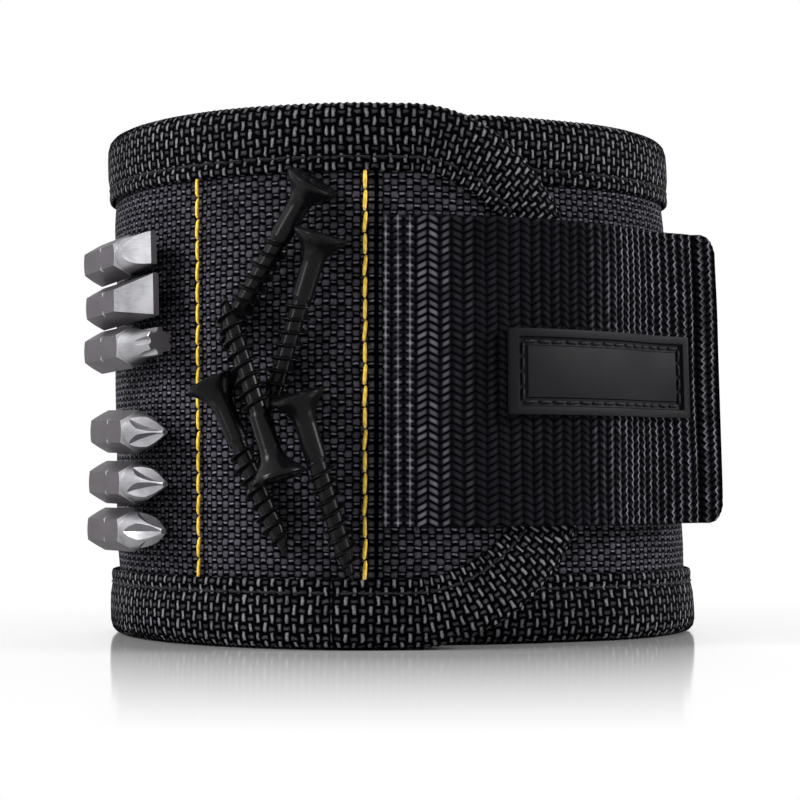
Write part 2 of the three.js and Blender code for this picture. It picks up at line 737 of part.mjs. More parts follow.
/** Adds the strap with its hook tape and label, and the loop panel that it closes on. */
function addStrap() {
  addPiece("strap_webbing", sheetOf(strapBlank, { inner: 0, outer: strapThickness }), finishes.webbing);
  addPiece("hook_tape", patch(strapBlank, {
    start: flapTipOnStrap + hookFlapGap, end: strap.length - hookEndInset, height: hookHeight,
    inner: -layerGap - hookThickness, outer: -layerGap, middle: strapMiddle,
  }), finishes.hookAndLoop);
  addPiece("loop_panel", patch(ringBlank, {
    start: ringArc(loopEndTurn), end: ringArc(loopStartTurn), height: strapHeight,
    inner: layerGap, outer: layerGap + loopThickness, middle: strapMiddle,
  }), finishes.hookAndLoop);
  addPiece("label", labelGeometry(), finishes.label);
  addPiece("label_thread", labelThread(), finishes.blackThread);
}

/** The thread that runs round the label's groove, open by one hair at its start. */
function labelThread() {
  const inset = labelRim + labelGroove / 2;
  const offset = strapThickness + labelClearance + labelBase + layerGap + labelThreadRadius;
  const left = labelStart + inset;
  const right = labelStart + labelLength - inset;
  const rise = labelHeight / 2 - inset;
  const corner = 2 * labelThreadRadius;
  const along = labelStations(inset + 2 * corner).map((distance) => labelStart + distance);
  const route = [
    ...along.map((arc) => [arc, rise, 0, 1]), [right - corner, rise, 0, 1],
    [right, rise - corner, 1, 0], [right, corner - rise, 1, 0],
    [right - corner, -rise, 0, -1], ...[...along].reverse().map((arc) => [arc, -rise, 0, -1]),
    [left + corner, -rise, 0, -1], [left, corner - rise, -1, 0], [left, rise - corner, -1, 0],
    [left + corner, rise, 0, 1],
  ];
  const profile = threadProfile(0, 0, labelThreadRadius, seamThreadSides);
  const rows = route.map(([arc, height, sideArc, sideHeight]) => profile.map(([side, out]) => (
    strap.place(arc + side * sideArc, offset + out, strapMiddle + height + side * sideHeight))));
  return loft(rows, profile);
}

/** Adds the yellow rows that part the pockets. */
function addStitching() {
  bayEdges.forEach((arc, i) => addPiece(`pocket_stitching_${i + 1}`, stitchRow(arc), finishes.yellowThread));
}

const pileArc = pocketHem + narrowBay / 2;
const headRest = screwHeadRadius + restingGap;
const threadRest = screwThreadRadius + restingGap;
const stackedHead = headRest + screwThreadRadius + restingGap;
const bridgeRest = threadRest + 2 * screwThreadRadius;

// Each screw's head and point: along the band from the pile's middle as a share of the head's
// radius, above the band's middle as a share of the screw's length, and off the fabric
const screwPlaceShares = [
  { head: [-1.78, 0.99], headOff: headRest, point: [1.95, 0.16], pointOff: threadRest },
  { head: [-2.06, 0.715], headOff: headRest, point: [0.05, -0.23], pointOff: threadRest },
  { head: [-0.83, -0.54], headOff: stackedHead, point: [1.12, 0.41], pointOff: bridgeRest },
  { head: [1.9, -0.03], headOff: headRest, point: [-0.7, -0.93], pointOff: threadRest },
  { head: [-1.4, -0.11], headOff: stackedHead, point: [-3.05, -1.06], pointOff: threadRest },
];

/** Adds the screws, heaped on the first bay as they were dropped. */
function addScrews() {
  const geometry = screwGeometry();
  screwPlaceShares.forEach(({ head, headOff, point, pointOff }, i) => {
    const spot = ([along, up], off) => (
      ring.place(pileArc + along * screwHeadRadius, off, bandMiddle + up * screwLength));
    const headSpot = spot(head, headOff);
    const towardsHead = headSpot.clone().sub(spot(point, pointOff)).normalize();
    const screw = addPiece(`screw_${i + 1}`, geometry, finishes.blackSteel);
    screw.quaternion.setFromUnitVectors(new THREE.Vector3(0, 0, 1), towardsHead);
    screw.position.copy(headSpot.addScaledVector(towardsHead, -screwLength));
  });
}

// Each bit: its shape, its height as a share of the band's, and its tilt in degrees
const crossShape = crossBit();
const bitPlaceShares = [
  { geometry: roundCheekBit(), share: 0.745, tilt: 3 },
  { geometry: flatCheekBit(), share: 0.652, tilt: 1.5 },
  { geometry: lobedBit(), share: 0.56, tilt: 0 },
  { geometry: crossShape, share: 0.4, tilt: -1 },
  { geometry: crossShape, share: 0.302, tilt: 0 },
  { geometry: crossShape, share: 0.212, tilt: 0 },
];

/** Adds the bits, each flat against the second magnet column with its tip to the front. */
function addBits() {
  const { along, outward } = ring.frame(magnetColumns[1]);
  const forward = along.clone().negate();
  bitPlaceShares.forEach(({ geometry, share, tilt }, i) => {
    const bit = addPiece(`bit_${i + 1}`, geometry, finishes.bitSteel);
    const axis = forward.clone().applyAxisAngle(outward, THREE.MathUtils.degToRad(-tilt));
    const side = new THREE.Vector3().crossVectors(outward, axis).normalize();
    bit.quaternion.setFromRotationMatrix(new THREE.Matrix4().makeBasis(side, outward, axis));
    const centre = ring.place(magnetColumns[1], bitAcrossFlats / 2 + restingGap, share * bandHeight);
    bit.position.copy(centre.addScaledVector(axis, -bitLength / 2));
  });
}

addBand();
addMagnets();
addFlap();
addStrap();
addStitching();
addScrews();
addBits();

// The origin is at the foot, under the middle of the whole part's plan
const bounds = new THREE.Box3().setFromObject(wristband);
const planCentre = bounds.getCenter(new THREE.Vector3());
wristband.position.set(-planCentre.x, -planCentre.y, 0);
const wristbandInPlace = new THREE.Group();
wristbandInPlace.add(wristband);

export default wristbandInPlace;
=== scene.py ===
"""The looks of a magnetic wristband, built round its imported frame: cloth, foam, webbing, rubber and steel."""

from __future__ import annotations

import logging
import math
from dataclasses import dataclass, field
from enum import Enum
from typing import Any, Callable, Sequence

import bmesh
import bpy
import numpy as np
from mathutils import Matrix, Vector


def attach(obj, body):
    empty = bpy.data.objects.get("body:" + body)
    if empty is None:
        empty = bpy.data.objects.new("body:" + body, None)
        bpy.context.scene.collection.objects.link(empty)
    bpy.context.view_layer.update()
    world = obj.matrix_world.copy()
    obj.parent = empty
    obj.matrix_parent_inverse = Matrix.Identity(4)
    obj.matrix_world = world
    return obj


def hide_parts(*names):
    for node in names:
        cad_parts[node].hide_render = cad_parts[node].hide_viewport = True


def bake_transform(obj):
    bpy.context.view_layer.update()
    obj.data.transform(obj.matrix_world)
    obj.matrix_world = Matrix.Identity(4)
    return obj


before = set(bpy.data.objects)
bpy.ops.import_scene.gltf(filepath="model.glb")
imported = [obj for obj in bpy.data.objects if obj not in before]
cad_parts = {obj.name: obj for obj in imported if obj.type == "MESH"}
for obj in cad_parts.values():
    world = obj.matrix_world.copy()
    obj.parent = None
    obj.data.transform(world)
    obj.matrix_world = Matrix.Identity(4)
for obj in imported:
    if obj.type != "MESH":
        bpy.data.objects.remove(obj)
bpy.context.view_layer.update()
log = logging.getLogger("wristband")

MM = 0.001
# The loop's axis in the frame's plan, in millimetres
PLAN_SHIFT = (0.2157, 4.6970)
FULL_TURN = 2 * math.pi
WHITE = (1.0, 1.0, 1.0)
Colour = tuple[float, float, float]
Axes = tuple[float, float, float]
Stitch = tuple[np.ndarray, np.ndarray, np.ndarray]


def tone(red: int, green: int, blue: int) -> Colour:
    """A colour as it is seen on a screen.

    Args:
        red: its red channel, 0 to 255.
        green: its green channel.
        blue: its blue channel.

    Returns:
        The shader's own numbers.
    """
    def linear(part: int) -> float:
        """One channel without the screen's curve."""
        share = part / 255
        return share / 12.92 if share <= 0.04045 else ((share + 0.055) / 1.055) ** 2.4
    return linear(red), linear(green), linear(blue)


# Shader maths


class Val:
    """A number that varies over a surface; sums on it add Math nodes."""

    def __init__(self, nodes: "Nodes", socket: bpy.types.NodeSocket) -> None:
        """Wraps one output socket of a node tree."""
        self.nodes, self.socket = nodes, socket

    def op(self, operation: str, *others: "Val | float", clamp: bool = False) -> "Val":
        """One Math node.

        Args:
            operation: the Math node's operation.
            others: the values after this one.
            clamp: whether the result stays between 0 and 1.

        Returns:
            The node's result.
        """
        inputs = {i: v for i, v in enumerate((self, *others))}
        node = self.nodes.add("ShaderNodeMath", {"operation": operation, "use_clamp": clamp}, inputs)
        return Val(self.nodes, node.outputs[0])

    def __add__(self, other: "Val | float") -> "Val":
        """This plus other."""
        return self.op("ADD", other)

    __radd__ = __add__

    def __mul__(self, other: "Val | float") -> "Val":
        """This times other."""
        return self.op("MULTIPLY", other)

    __rmul__ = __mul__

    def __sub__(self, other: "Val | float") -> "Val":
        """This less other."""
        return self.op("SUBTRACT", other)

    def __rsub__(self, other: float) -> "Val":
        """Other less this."""
        return (self * -1.0) + other

    def __truediv__(self, other: "Val | float") -> "Val":
        """This over other."""
        return self.op("DIVIDE", other)

    def __pow__(self, power: float) -> "Val":
        """This to a power."""
        return self.op("POWER", power)

    def floor(self) -> "Val":
        """The whole number below."""
        return self.op("FLOOR")

    def fract(self) -> "Val":
        """What is above the whole number."""
        return self.op("FRACT")

    def cos(self) -> "Val":
        """Its cosine, in radians."""
        return self.op("COSINE")

    def clamp(self) -> "Val":
        """Kept between 0 and 1."""
        return self.op("ADD", 0.0, clamp=True)

    def odd(self) -> "Val":
        """1 where this whole number is odd, 0 where it is even."""
        return (self * 0.5).fract() * 2.0

    def dome(self, half: float) -> "Val":
        """A round hump about 0 that reaches 0 at half."""
        return (1.0 - (self / half) ** 2.0).clamp() ** 0.5


class Nodes:
    """The node tree of a material or a world, under construction."""

    def __init__(self, owner: bpy.types.Material | bpy.types.World) -> None:
        """Starts the owner's tree afresh.

        Args:
            owner: the material or the world.
        """
        owner.use_nodes = True
        self.tree = owner.node_tree
        self.tree.nodes.clear()

    def add(self, kind: str, settings: dict[str, Any] | None = None,
            inputs: dict[int | str, Any] | None = None) -> bpy.types.Node:
        """Adds a node.

        Args:
            kind: the node's type.
            settings: what is set on the node first.
            inputs: values, sockets or Vals for its input sockets.

        Returns:
            The node.
        """
        node = self.tree.nodes.new(kind)
        for key, value in (settings or {}).items():
            setattr(node, key, value)
        for key, value in (inputs or {}).items():
            self.feed(node.inputs[key], value)
        return node

    def feed(self, socket: bpy.types.NodeSocket, value: Any) -> None:
        """Links or sets one input socket.

        Args:
            socket: the input socket.
            value: a Val or a socket to link, or a plain value; a colour has three parts.
        """
        if isinstance(value, Val):
            value = value.socket
        if isinstance(value, bpy.types.NodeSocket):
            self.tree.links.new(value, socket)
        elif isinstance(value, tuple) and socket.type == "RGBA":
            socket.default_value = (*value[:3], 1)
        else:
            socket.default_value = value

    def seen(self) -> Val:
        """Which rays show the background: the camera's and those off gloss or through glass.

        Returns:
            1 for such a ray, else 0.
        """
        path = self.add("ShaderNodeLightPath")
        camera, glossy, through = (Val(self, path.outputs[name]) for name in (
            "Is Camera Ray", "Is Glossy Ray", "Is Transmission Ray"))
        return (camera + glossy + through).clamp()


class Shader(Nodes):
    """A material under construction, with its own Principled BSDF."""

    def __init__(self, name: str, **constants: Any) -> None:
        """Starts a material.

        Args:
            name: the material's name.
            constants: values of the shader's own sockets, with _ for a space.
        """
        self.material = bpy.data.materials.new(name)
        super().__init__(self.material)
        self.bsdf = self.add("ShaderNodeBsdfPrincipled")
        self.output = self.add("ShaderNodeOutputMaterial", inputs={"Surface": self.bsdf.outputs[0]})
        for key, value in constants.items():
            self.set(key.replace("_", " "), value)

    def set(self, socket: str, value: Any) -> None:
        """Sets or links one socket of the material's own shader."""
        self.feed(self.bsdf.inputs[socket], value)

    def along(self) -> tuple[Val, Val, bpy.types.NodeSocket]:
        """The piece's own map.

        Returns:
            The millimetres along it and across it, and both as a vector.
        """
        uv = self.add("ShaderNodeUVMap", {"uv_map": "cut"}).outputs[0]
        parts = self.add("ShaderNodeSeparateXYZ", inputs={0: uv}).outputs
        return Val(self, parts[0]), Val(self, parts[1]), uv

    def place(self) -> bpy.types.NodeSocket:
        """The place on the object, in metres."""
        return self.add("ShaderNodeTexCoord").outputs["Object"]

    def noise(self, vector: bpy.types.NodeSocket, scale: float, detail: float = 2.0) -> Val:
        """Cloudy noise.

        Args:
            vector: the place that it is looked up at.
            scale: how fine it is.
            detail: its octaves.

        Returns:
            From 0 to 1.
        """
        node = self.add("ShaderNodeTexNoise", inputs={"Vector": vector, "Scale": scale, "Detail": detail})
        return Val(self, node.outputs[0])

    def chance(self, x: Val, y: Val) -> Val:
        """A number from 0 to 1 that differs from cell to cell."""
        spot = self.add("ShaderNodeCombineXYZ", inputs={0: x.floor(), 1: y.floor()}).outputs[0]
        return Val(self, self.add("ShaderNodeTexWhiteNoise", inputs={"Vector": spot}).outputs["Value"])

    def mix(self, share: Val, first: Any, second: Any) -> bpy.types.NodeSocket:
        """A colour between two."""
        node = self.add("ShaderNodeMix", {"data_type": "RGBA"}, {0: share, 6: first, 7: second})
        return node.outputs[2]

    def stretch(self, vector: bpy.types.NodeSocket, scale: Axes) -> bpy.types.NodeSocket:
        """A vector scaled by axis."""
        return self.add("ShaderNodeVectorMath", {"operation": "MULTIPLY"}, {0: vector, 1: scale}).outputs[0]

    def skin(self, colour: Any, roughness: Any, height: Val, depth: float) -> bpy.types.Material:
        """Gives the surface its looks.

        Args:
            colour: its base colour.
            roughness: its roughness.
            height: its relief, from 0 to 1.
            depth: how many millimetres 1 is.

        Returns:
            The finished material.
        """
        self.set("Base Color", colour)
        self.set("Roughness", roughness)
        bump = self.add("ShaderNodeBump", inputs={"Strength": 1.0, "Distance": depth * MM, "Height": height})
        self.set("Normal", bump.outputs[0])
        return self.material


# Finishes


class Slot(Enum):
    """The record's material slots."""

    SHELL = "shell_fabric"
    LINING = "lining_fabric"
    FOAM = "foam"
    TAPE = "binding_tape"
    WEBBING = "webbing"
    HOOK = "hook_and_loop"
    YELLOW = "yellow_thread"
    BLACK = "black_thread"
    RUBBER = "label_rubber"
    NICKEL = "magnet_nickel"
    BLACK_STEEL = "black_steel"
    BIT_STEEL = "bit_steel"


class Finish:
    """What every finish shares."""

    slot: Slot

    def material(self) -> bpy.types.Material:
        """The finish as a material."""
        raise NotImplementedError

    def shader(self, **constants: Any) -> Shader:
        """A new material, named for the finish's slot."""
        return Shader(f"{self.slot.value}_look", **constants)


@dataclass(frozen=True)
class PlainWeave(Finish):
    """A plain weave of round yarns: the ones along the height float high, the others lie between, with light
    and shade painted into its colours.
    """

    slot: Slot
    column: float = 1.22
    row: float = 1.02
    # Both yarn colours are one dark cloth as lit: the brighter stands for a painted highlight, the darker for
    # painted shade
    lit_up_yarn: Colour = tone(74, 73, 81)
    lit_side_yarn: Colour = tone(116, 114, 124)
    # Near black: painted shade in the gaps between the yarns
    gap: Colour = tone(1, 1, 2)
    depth: float = 0.34
    roughness: float = 0.42
    specular: float = 0.01
    wander: float = 0.5
    up_width: float = 0.53
    up_length: float = 0.58
    side_width: float = 0.21
    side_length: float = 0.42
    # How far the lying yarn, and with it its painted highlight, sits above the cell's middle
    side_rise: float = 0.14
    sway: float = 0.46

    def material(self) -> bpy.types.Material:
        """The cloth as a material on the piece's own map.

        Returns:
            The material.
        """
        s = self.shader(Specular_IOR_Level=self.specular)
        u, v, uv = s.along()
        drift = (s.noise(uv, 0.11, 1.0) - 0.5) * self.wander
        sway = (s.noise(uv, 0.75, 1.0) - 0.5) * self.sway
        x, y = u / self.column + drift + sway, v / self.row + drift * 0.7 - sway
        odd = (x.floor() + y.floor()).odd()
        across, up = x.fract() - 0.5, y.fract() - 0.5
        rising = across.dome(self.up_width) * up.dome(self.up_length)
        # The lying yarn sits high in its cell: a painted highlight on its top, with painted shade below it
        lying = (up - self.side_rise).dome(self.side_width) * across.dome(self.side_length)
        height = rising * (1.0 - odd) + lying * odd * 0.7
        fibre = s.noise(s.stretch(uv, (2.6, 1.5, 1.0)), 1.6, 3.0)
        patch = s.noise(uv, 0.045, 2.0)
        # Lighter on each yarn's top and darker towards its edges: painted highlight and painted shade; the
        # mottle and the patches are the cloth's own
        body = ((rising ** 2.0) * 1.25).clamp() * (1.0 - odd) + (lying ** 2.0) * odd
        # The random brightness per yarn is partly the yarns' own tone and partly painted glints that differ
        # from yarn to yarn
        shade = body * (fibre * 3.0 - 0.6).clamp() * (patch * 1.2 + 0.4) * (s.chance(x, y) * 0.8 + 0.55)
        yarn = s.mix(odd, self.lit_up_yarn, self.lit_side_yarn)
        colour = s.mix(shade.clamp(), self.gap, yarn)
        return s.skin(colour, self.roughness + 0.3 - height * 0.3, height + fibre * 0.3, self.depth)


@dataclass(frozen=True)
class Herringbone(Finish):
    """Heavy webbing: upright ribs of slanted yarns that lean to and fro from rib to rib, with painted
    highlights on the crests.
    """

    slot: Slot = Slot.WEBBING
    column: float = 1.9
    row: float = 1.25
    slant: float = 0.8
    wiggle: float = 0.11
    yarn: Colour = tone(27, 26, 31)
    # The colour of the painted highlights: glints on the crests and the yarns
    painted_glint: Colour = tone(140, 138, 148)
    # Near black: painted shade in the grooves between the ribs and the yarns
    gap: Colour = tone(1, 1, 2)
    shift: float = 0.6
    crested: float = 5.0
    # Arcs at which the painted highlights fade after the root and grow again towards the end, where the ribs
    # also wiggle
    turns: tuple[float, float, float, float] = (8.6, 15.0, 33.0, 44.0)

    def relief(self, along: np.ndarray, rise: np.ndarray) -> np.ndarray:
        """The webbing's height for the mesh, as the material has it.

        Args:
            along: the way along the strap.
            rise: the way up from its middle.

        Returns:
            From 0 to 1.
        """
        x, y = (along + self.shift) / self.column, rise / self.row
        across = np.mod(x, 1) - 0.5
        lean = np.where(np.mod(np.floor(x), 2) > 0.5, -1.0, 1.0)
        step = np.mod(y + across * lean * self.slant, 1) - 0.5
        late = np.clip((along - self.turns[2]) / (self.turns[3] - self.turns[2]), 0, 1)
        rib = 1 - np.abs(across - self.wiggle * late * np.cos(FULL_TURN * y)) / 0.62
        return np.clip(rib, 0, 1) * (0.8 + 0.2 * np.sqrt(np.clip(1 - (step / 0.5) ** 2, 0, 1)))

    def material(self) -> bpy.types.Material:
        """The webbing as a material on the piece's own map.

        Returns:
            The material.
        """
        s = self.shader(Specular_IOR_Level=0.01)
        u, v, uv = s.along()
        sway = s.noise(uv, 0.5, 1.0) - 0.5
        x = (u + self.shift) / self.column
        y = v / self.row + sway * 0.1
        across = x.fract() - 0.5
        even = 1.0 - x.floor().odd()
        lean = even * 2.0 - 1.0
        step = (y + across * lean * self.slant).fract() - 0.5
        rib, yarn = across.dome(0.5), step.dome(0.46)
        fibre = s.noise(s.stretch(uv, (3.0, 9.0, 1.0)), 1.6, 2.0)
        patch = s.noise(uv, 0.16, 2.0)
        root, mid, far, end = self.turns
        # early and late: the painted highlights are strong near the root and past the far turn, and faint in
        # the middle between
        early = (1.0 - (u - root) / (mid - root)).clamp()
        late = ((u - far) / (end - far)).clamp()
        crested = (1.0 - (u - self.crested) / 0.5).clamp()
        # Painted highlights: a bright line along each rib's crest and short barbs on its yarns
        crest = (across - (y * FULL_TURN).cos() * late * self.wiggle).dome(0.1)
        level = (y + across * lean * (1.0 - crested) * self.slant).fract() - 0.5
        dash = (u - root + 0.5).clamp() * (1.0 - late)
        barb = level.dome(0.3 - crested * 0.12) * across.dome(0.4 - crested * 0.08 - dash * 0.12)
        # The ribs that lean one way get a dimmer painted highlight
        side = 1.0 - even * dash * 0.8
        # The random factor per yarn stands for painted glints that differ from yarn to yarn
        lit = (early * 0.75 + late * 0.74 + 0.04) * side * (s.chance(x, y) * 1.0 + 0.35)
        painted_glint = crest * (yarn * 0.5 + 0.5) * (crested * 0.8 + late)
        painted_glint = painted_glint + barb * (0.62 - crested * 0.12 - late * 0.54)
        height = rib * (yarn * 0.4 + 0.6)
        # Darker down into the grooves and towards the far end: painted shade
        shade = (yarn ** 1.6) * (rib * 0.8 + 0.2) * (fibre * 1.2 + 0.3)
        shade = shade * (patch * 0.8 + 0.5) * (1.0 - late * 0.5)
        base = s.mix(shade.clamp(), self.gap, self.yarn)
        colour = s.mix((painted_glint * lit * (fibre * 1.7 - 0.1).clamp()).clamp(), base, self.painted_glint)
        return s.skin(colour, 0.7 - height * 0.25, height + fibre * 0.14, 0.25)


@dataclass(frozen=True)
class Pile(Finish):
    """Hook or loop pile: a mat of fine stiff fibres, lighter at the tips and with painted shade down among the
    roots.
    """

    slot: Slot = Slot.HOOK
    grain: float = 1.7
    # tip: the fibres as lit at the top of the pile; root: painted shade deep in the pile
    tip: Colour = tone(44, 44, 48)
    root: Colour = tone(5, 5, 6)

    def material(self) -> bpy.types.Material:
        """The pile as a material on the piece's own map.

        Returns:
            The material.
        """
        s = self.shader(Specular_IOR_Level=0.05)
        _, _, uv = s.along()
        tuft = s.noise(uv, self.grain, 4.0)
        clump = s.noise(uv, self.grain / 5, 2.0)
        height = ((tuft - 0.3) * 2.2).clamp() * (clump * 0.8 + 0.4)
        return s.skin(s.mix(height.clamp(), self.root, self.tip), 0.95 - height * 0.2, height, 0.4)


@dataclass(frozen=True)
class Foam(Finish):
    """Fine open-cell foam, which shows only where a layer is lifted; its darker cells are painted shade in the
    pores.
    """

    slot: Slot = Slot.FOAM
    body: Colour = tone(48, 48, 50)
    # cell: painted shade in the open pores
    cell: Colour = tone(22, 22, 24)

    def material(self) -> bpy.types.Material:
        """The foam as a material on the place on the object.

        Returns:
            The material.
        """
        s = self.shader(Specular_IOR_Level=0.05)
        cells = s.noise(s.place(), 1500.0, 3.0)
        colour = s.mix(((cells - 0.35) * 3.0).clamp(), self.cell, self.body)
        return s.skin(colour, 0.9 + cells * 0.08, cells, 0.15)


@dataclass(frozen=True)
class Thread(Finish):
    """Twisted sewing thread: plies wind round it, with painted shade where it meets the cloth and between its
    plies.
    """

    slot: Slot
    # top: the thread as lit on its outer face; side: the same thread in painted shade
    top: Colour
    side: Colour
    roughness: float = 0.42
    specular: float = 0.1
    ply: float = 9.0

    def material(self) -> bpy.types.Material:
        """The thread as a material: its map gives the way round it and the way along it.

        Returns:
            The material.
        """
        s = self.shader(Specular_IOR_Level=self.specular)
        turn, length, uv = s.along()
        ply = (length * self.ply + turn * FULL_TURN).cos() * 0.5 + 0.5
        # Lighter on the outer face and darker towards the cloth: painted light and painted shade
        facing = ((turn * FULL_TURN).cos() * 0.9 + 0.55).clamp()
        fray = s.noise(uv, 5.0, 2.0)
        share = facing * (ply * 0.35 + 0.65) * (fray * 0.5 + 0.7)
        return s.skin(s.mix(share.clamp(), self.side, self.top), self.roughness + fray * 0.25, ply, 0.05)


@dataclass(frozen=True)
class Rubber(Finish):
    """Soft moulded rubber with a satin skin."""

    slot: Slot = Slot.RUBBER
    body: Colour = tone(16, 16, 19)
    worn: Colour = tone(25, 25, 29)

    def material(self) -> bpy.types.Material:
        """The rubber as a material on the place on the object.

        Returns:
            The material.
        """
        s = self.shader(Specular_IOR_Level=0.08)
        place = s.place()
        cloud, grain = s.noise(place, 90.0, 3.0), s.noise(place, 2600.0, 2.0)
        colour = s.mix(((cloud - 0.4) * 1.6).clamp(), self.body, self.worn)
        return s.skin(colour, 0.44 + cloud * 0.12 + grain * 0.08, grain, 0.02)


@dataclass(frozen=True)
class Steel(Finish):
    """Bare or blackened steel with fine grinding lines, and darker stains where it was held."""

    slot: Slot
    face: Colour
    stain: Colour
    metallic: float = 1.0
    specular: float = 0.5
    low: float = 0.25
    high: float = 0.45
    lines: Axes = (400.0, 400.0, 9000.0)
    depth: float = 0.008

    def material(self) -> bpy.types.Material:
        """The steel as a material on the place on the object.

        Returns:
            The material.
        """
        s = self.shader(Metallic=self.metallic, Specular_IOR_Level=self.specular)
        place = s.place()
        cloud = s.noise(place, 260.0, 3.0)
        line = s.noise(s.stretch(place, self.lines), 1.0, 2.0)
        colour = s.mix((cloud * 1.4 - 0.2 + (line - 0.5) * 0.5).clamp(), self.stain, self.face)
        roughness = (cloud * 0.5 + line * 0.5) * (self.high - self.low) * 1.6 + self.low * 0.8
        return s.skin(colour, roughness, line, self.depth)


@dataclass(frozen=True)
class GroundSteel(Finish):
    """Bit steel: dull where it was rolled and pale where it was ground, by the piece's own attribute, which
    also darkens one wall of each groove as painted shade.
    """

    slot: Slot = Slot.BIT_STEEL
    rolled: Colour = tone(96, 92, 97)
    ground: Colour = tone(172, 172, 176)
    stain: Colour = tone(70, 66, 68)
    lines: Axes = (500.0, 500.0, 7000.0)

    def material(self) -> bpy.types.Material:
        """The steel as a material on the place on the object and on its share of ground skin.

        Returns:
            The material.
        """
        s = self.shader(Metallic=1.0)
        place = s.place()
        share = Val(s, s.add("ShaderNodeAttribute", {"attribute_name": "ground"}).outputs["Fac"])
        cloud, pit = s.noise(place, 240.0, 3.0), s.noise(place, 1800.0, 2.0)
        line = s.noise(s.stretch(place, self.lines), 1.0, 2.0)
        grain = line * share + pit * (1.0 - share)
        # The share also holds the painted shade on one wall of each groove
        skin = s.mix(share, self.rolled, self.ground)
        colour = s.mix((cloud * 0.8 + grain * 0.7 + 0.14).clamp(), self.stain, skin)
        return s.skin(colour, 0.55 - share * 0.13 + (cloud - 0.5) * 0.25, grain, 0.014)


# In each weave the two yarn colours are one cloth, one painted as lit and one painted in shade
SHELL = PlainWeave(Slot.SHELL)
TAPE = PlainWeave(Slot.TAPE, column=1.28, row=1.5, lit_up_yarn=tone(124, 122, 128), lit_side_yarn=tone(66, 65, 70),
                  depth=0.36, roughness=0.4, wander=0.4, up_width=0.25, up_length=0.6, side_width=0.24,
                  side_length=0.45, side_rise=0.08, sway=0.45)
LINING = PlainWeave(Slot.LINING, column=0.7, row=0.6, lit_up_yarn=tone(36, 35, 39), lit_side_yarn=tone(50, 49, 54),
                    depth=0.16, roughness=0.65)
# Each thread's top colour is as lit, and its side colour is the same thread in painted shade
YELLOW = Thread(Slot.YELLOW, top=tone(255, 220, 78), side=tone(178, 104, 14), specular=0.25)
BLACK_THREAD = Thread(Slot.BLACK, top=tone(36, 36, 40), side=tone(6, 6, 7))
BLACK_STEEL = Steel(Slot.BLACK_STEEL, face=tone(13, 13, 16), stain=tone(7, 7, 8), metallic=0.0, specular=0.12,
                    low=0.26, high=0.34, lines=(900.0, 900.0, 900.0), depth=0.004)
NICKEL = Steel(Slot.NICKEL, face=tone(205, 206, 208), stain=tone(178, 178, 180), low=0.15, high=0.25)


# Courses


def smooth(value: np.ndarray) -> np.ndarray:
    """The smooth step.

    Args:
        value: how far along the step it is.

    Returns:
        From 0 to 1.
    """
    t = np.clip(value, 0, 1)
    return t * t * (3 - 2 * t)


def settle(points: np.ndarray, share: float = 1.0, height: float = 88.0, radius: float = 51.2,
           right: float = 5.2, left: float = 0.9, bulge: float = 0.8) -> np.ndarray:
    """Leans the loop as it stands: its right side out at the foot, its left side a little at the top.

    Args:
        points: places in millimetres, an array with three columns.
        share: how much of the right side's lean they take.
        height: the band's height.
        radius: the loop's radius.
        right: how far the right side leans over the band's height.
        left: how far the left side leans.
        bulge: how far the left side is pressed out.

    Returns:
        The places after that, in metres.
    """
    out = points.copy()
    x, low = points[..., 0], 0.5 - points[..., 2] / height
    out[..., 0] += low * (share * right * smooth(x / radius) + left * smooth(-x / radius))
    out[..., 0] -= bulge * smooth((-x / radius - 0.6) / 0.4)
    return out * MM


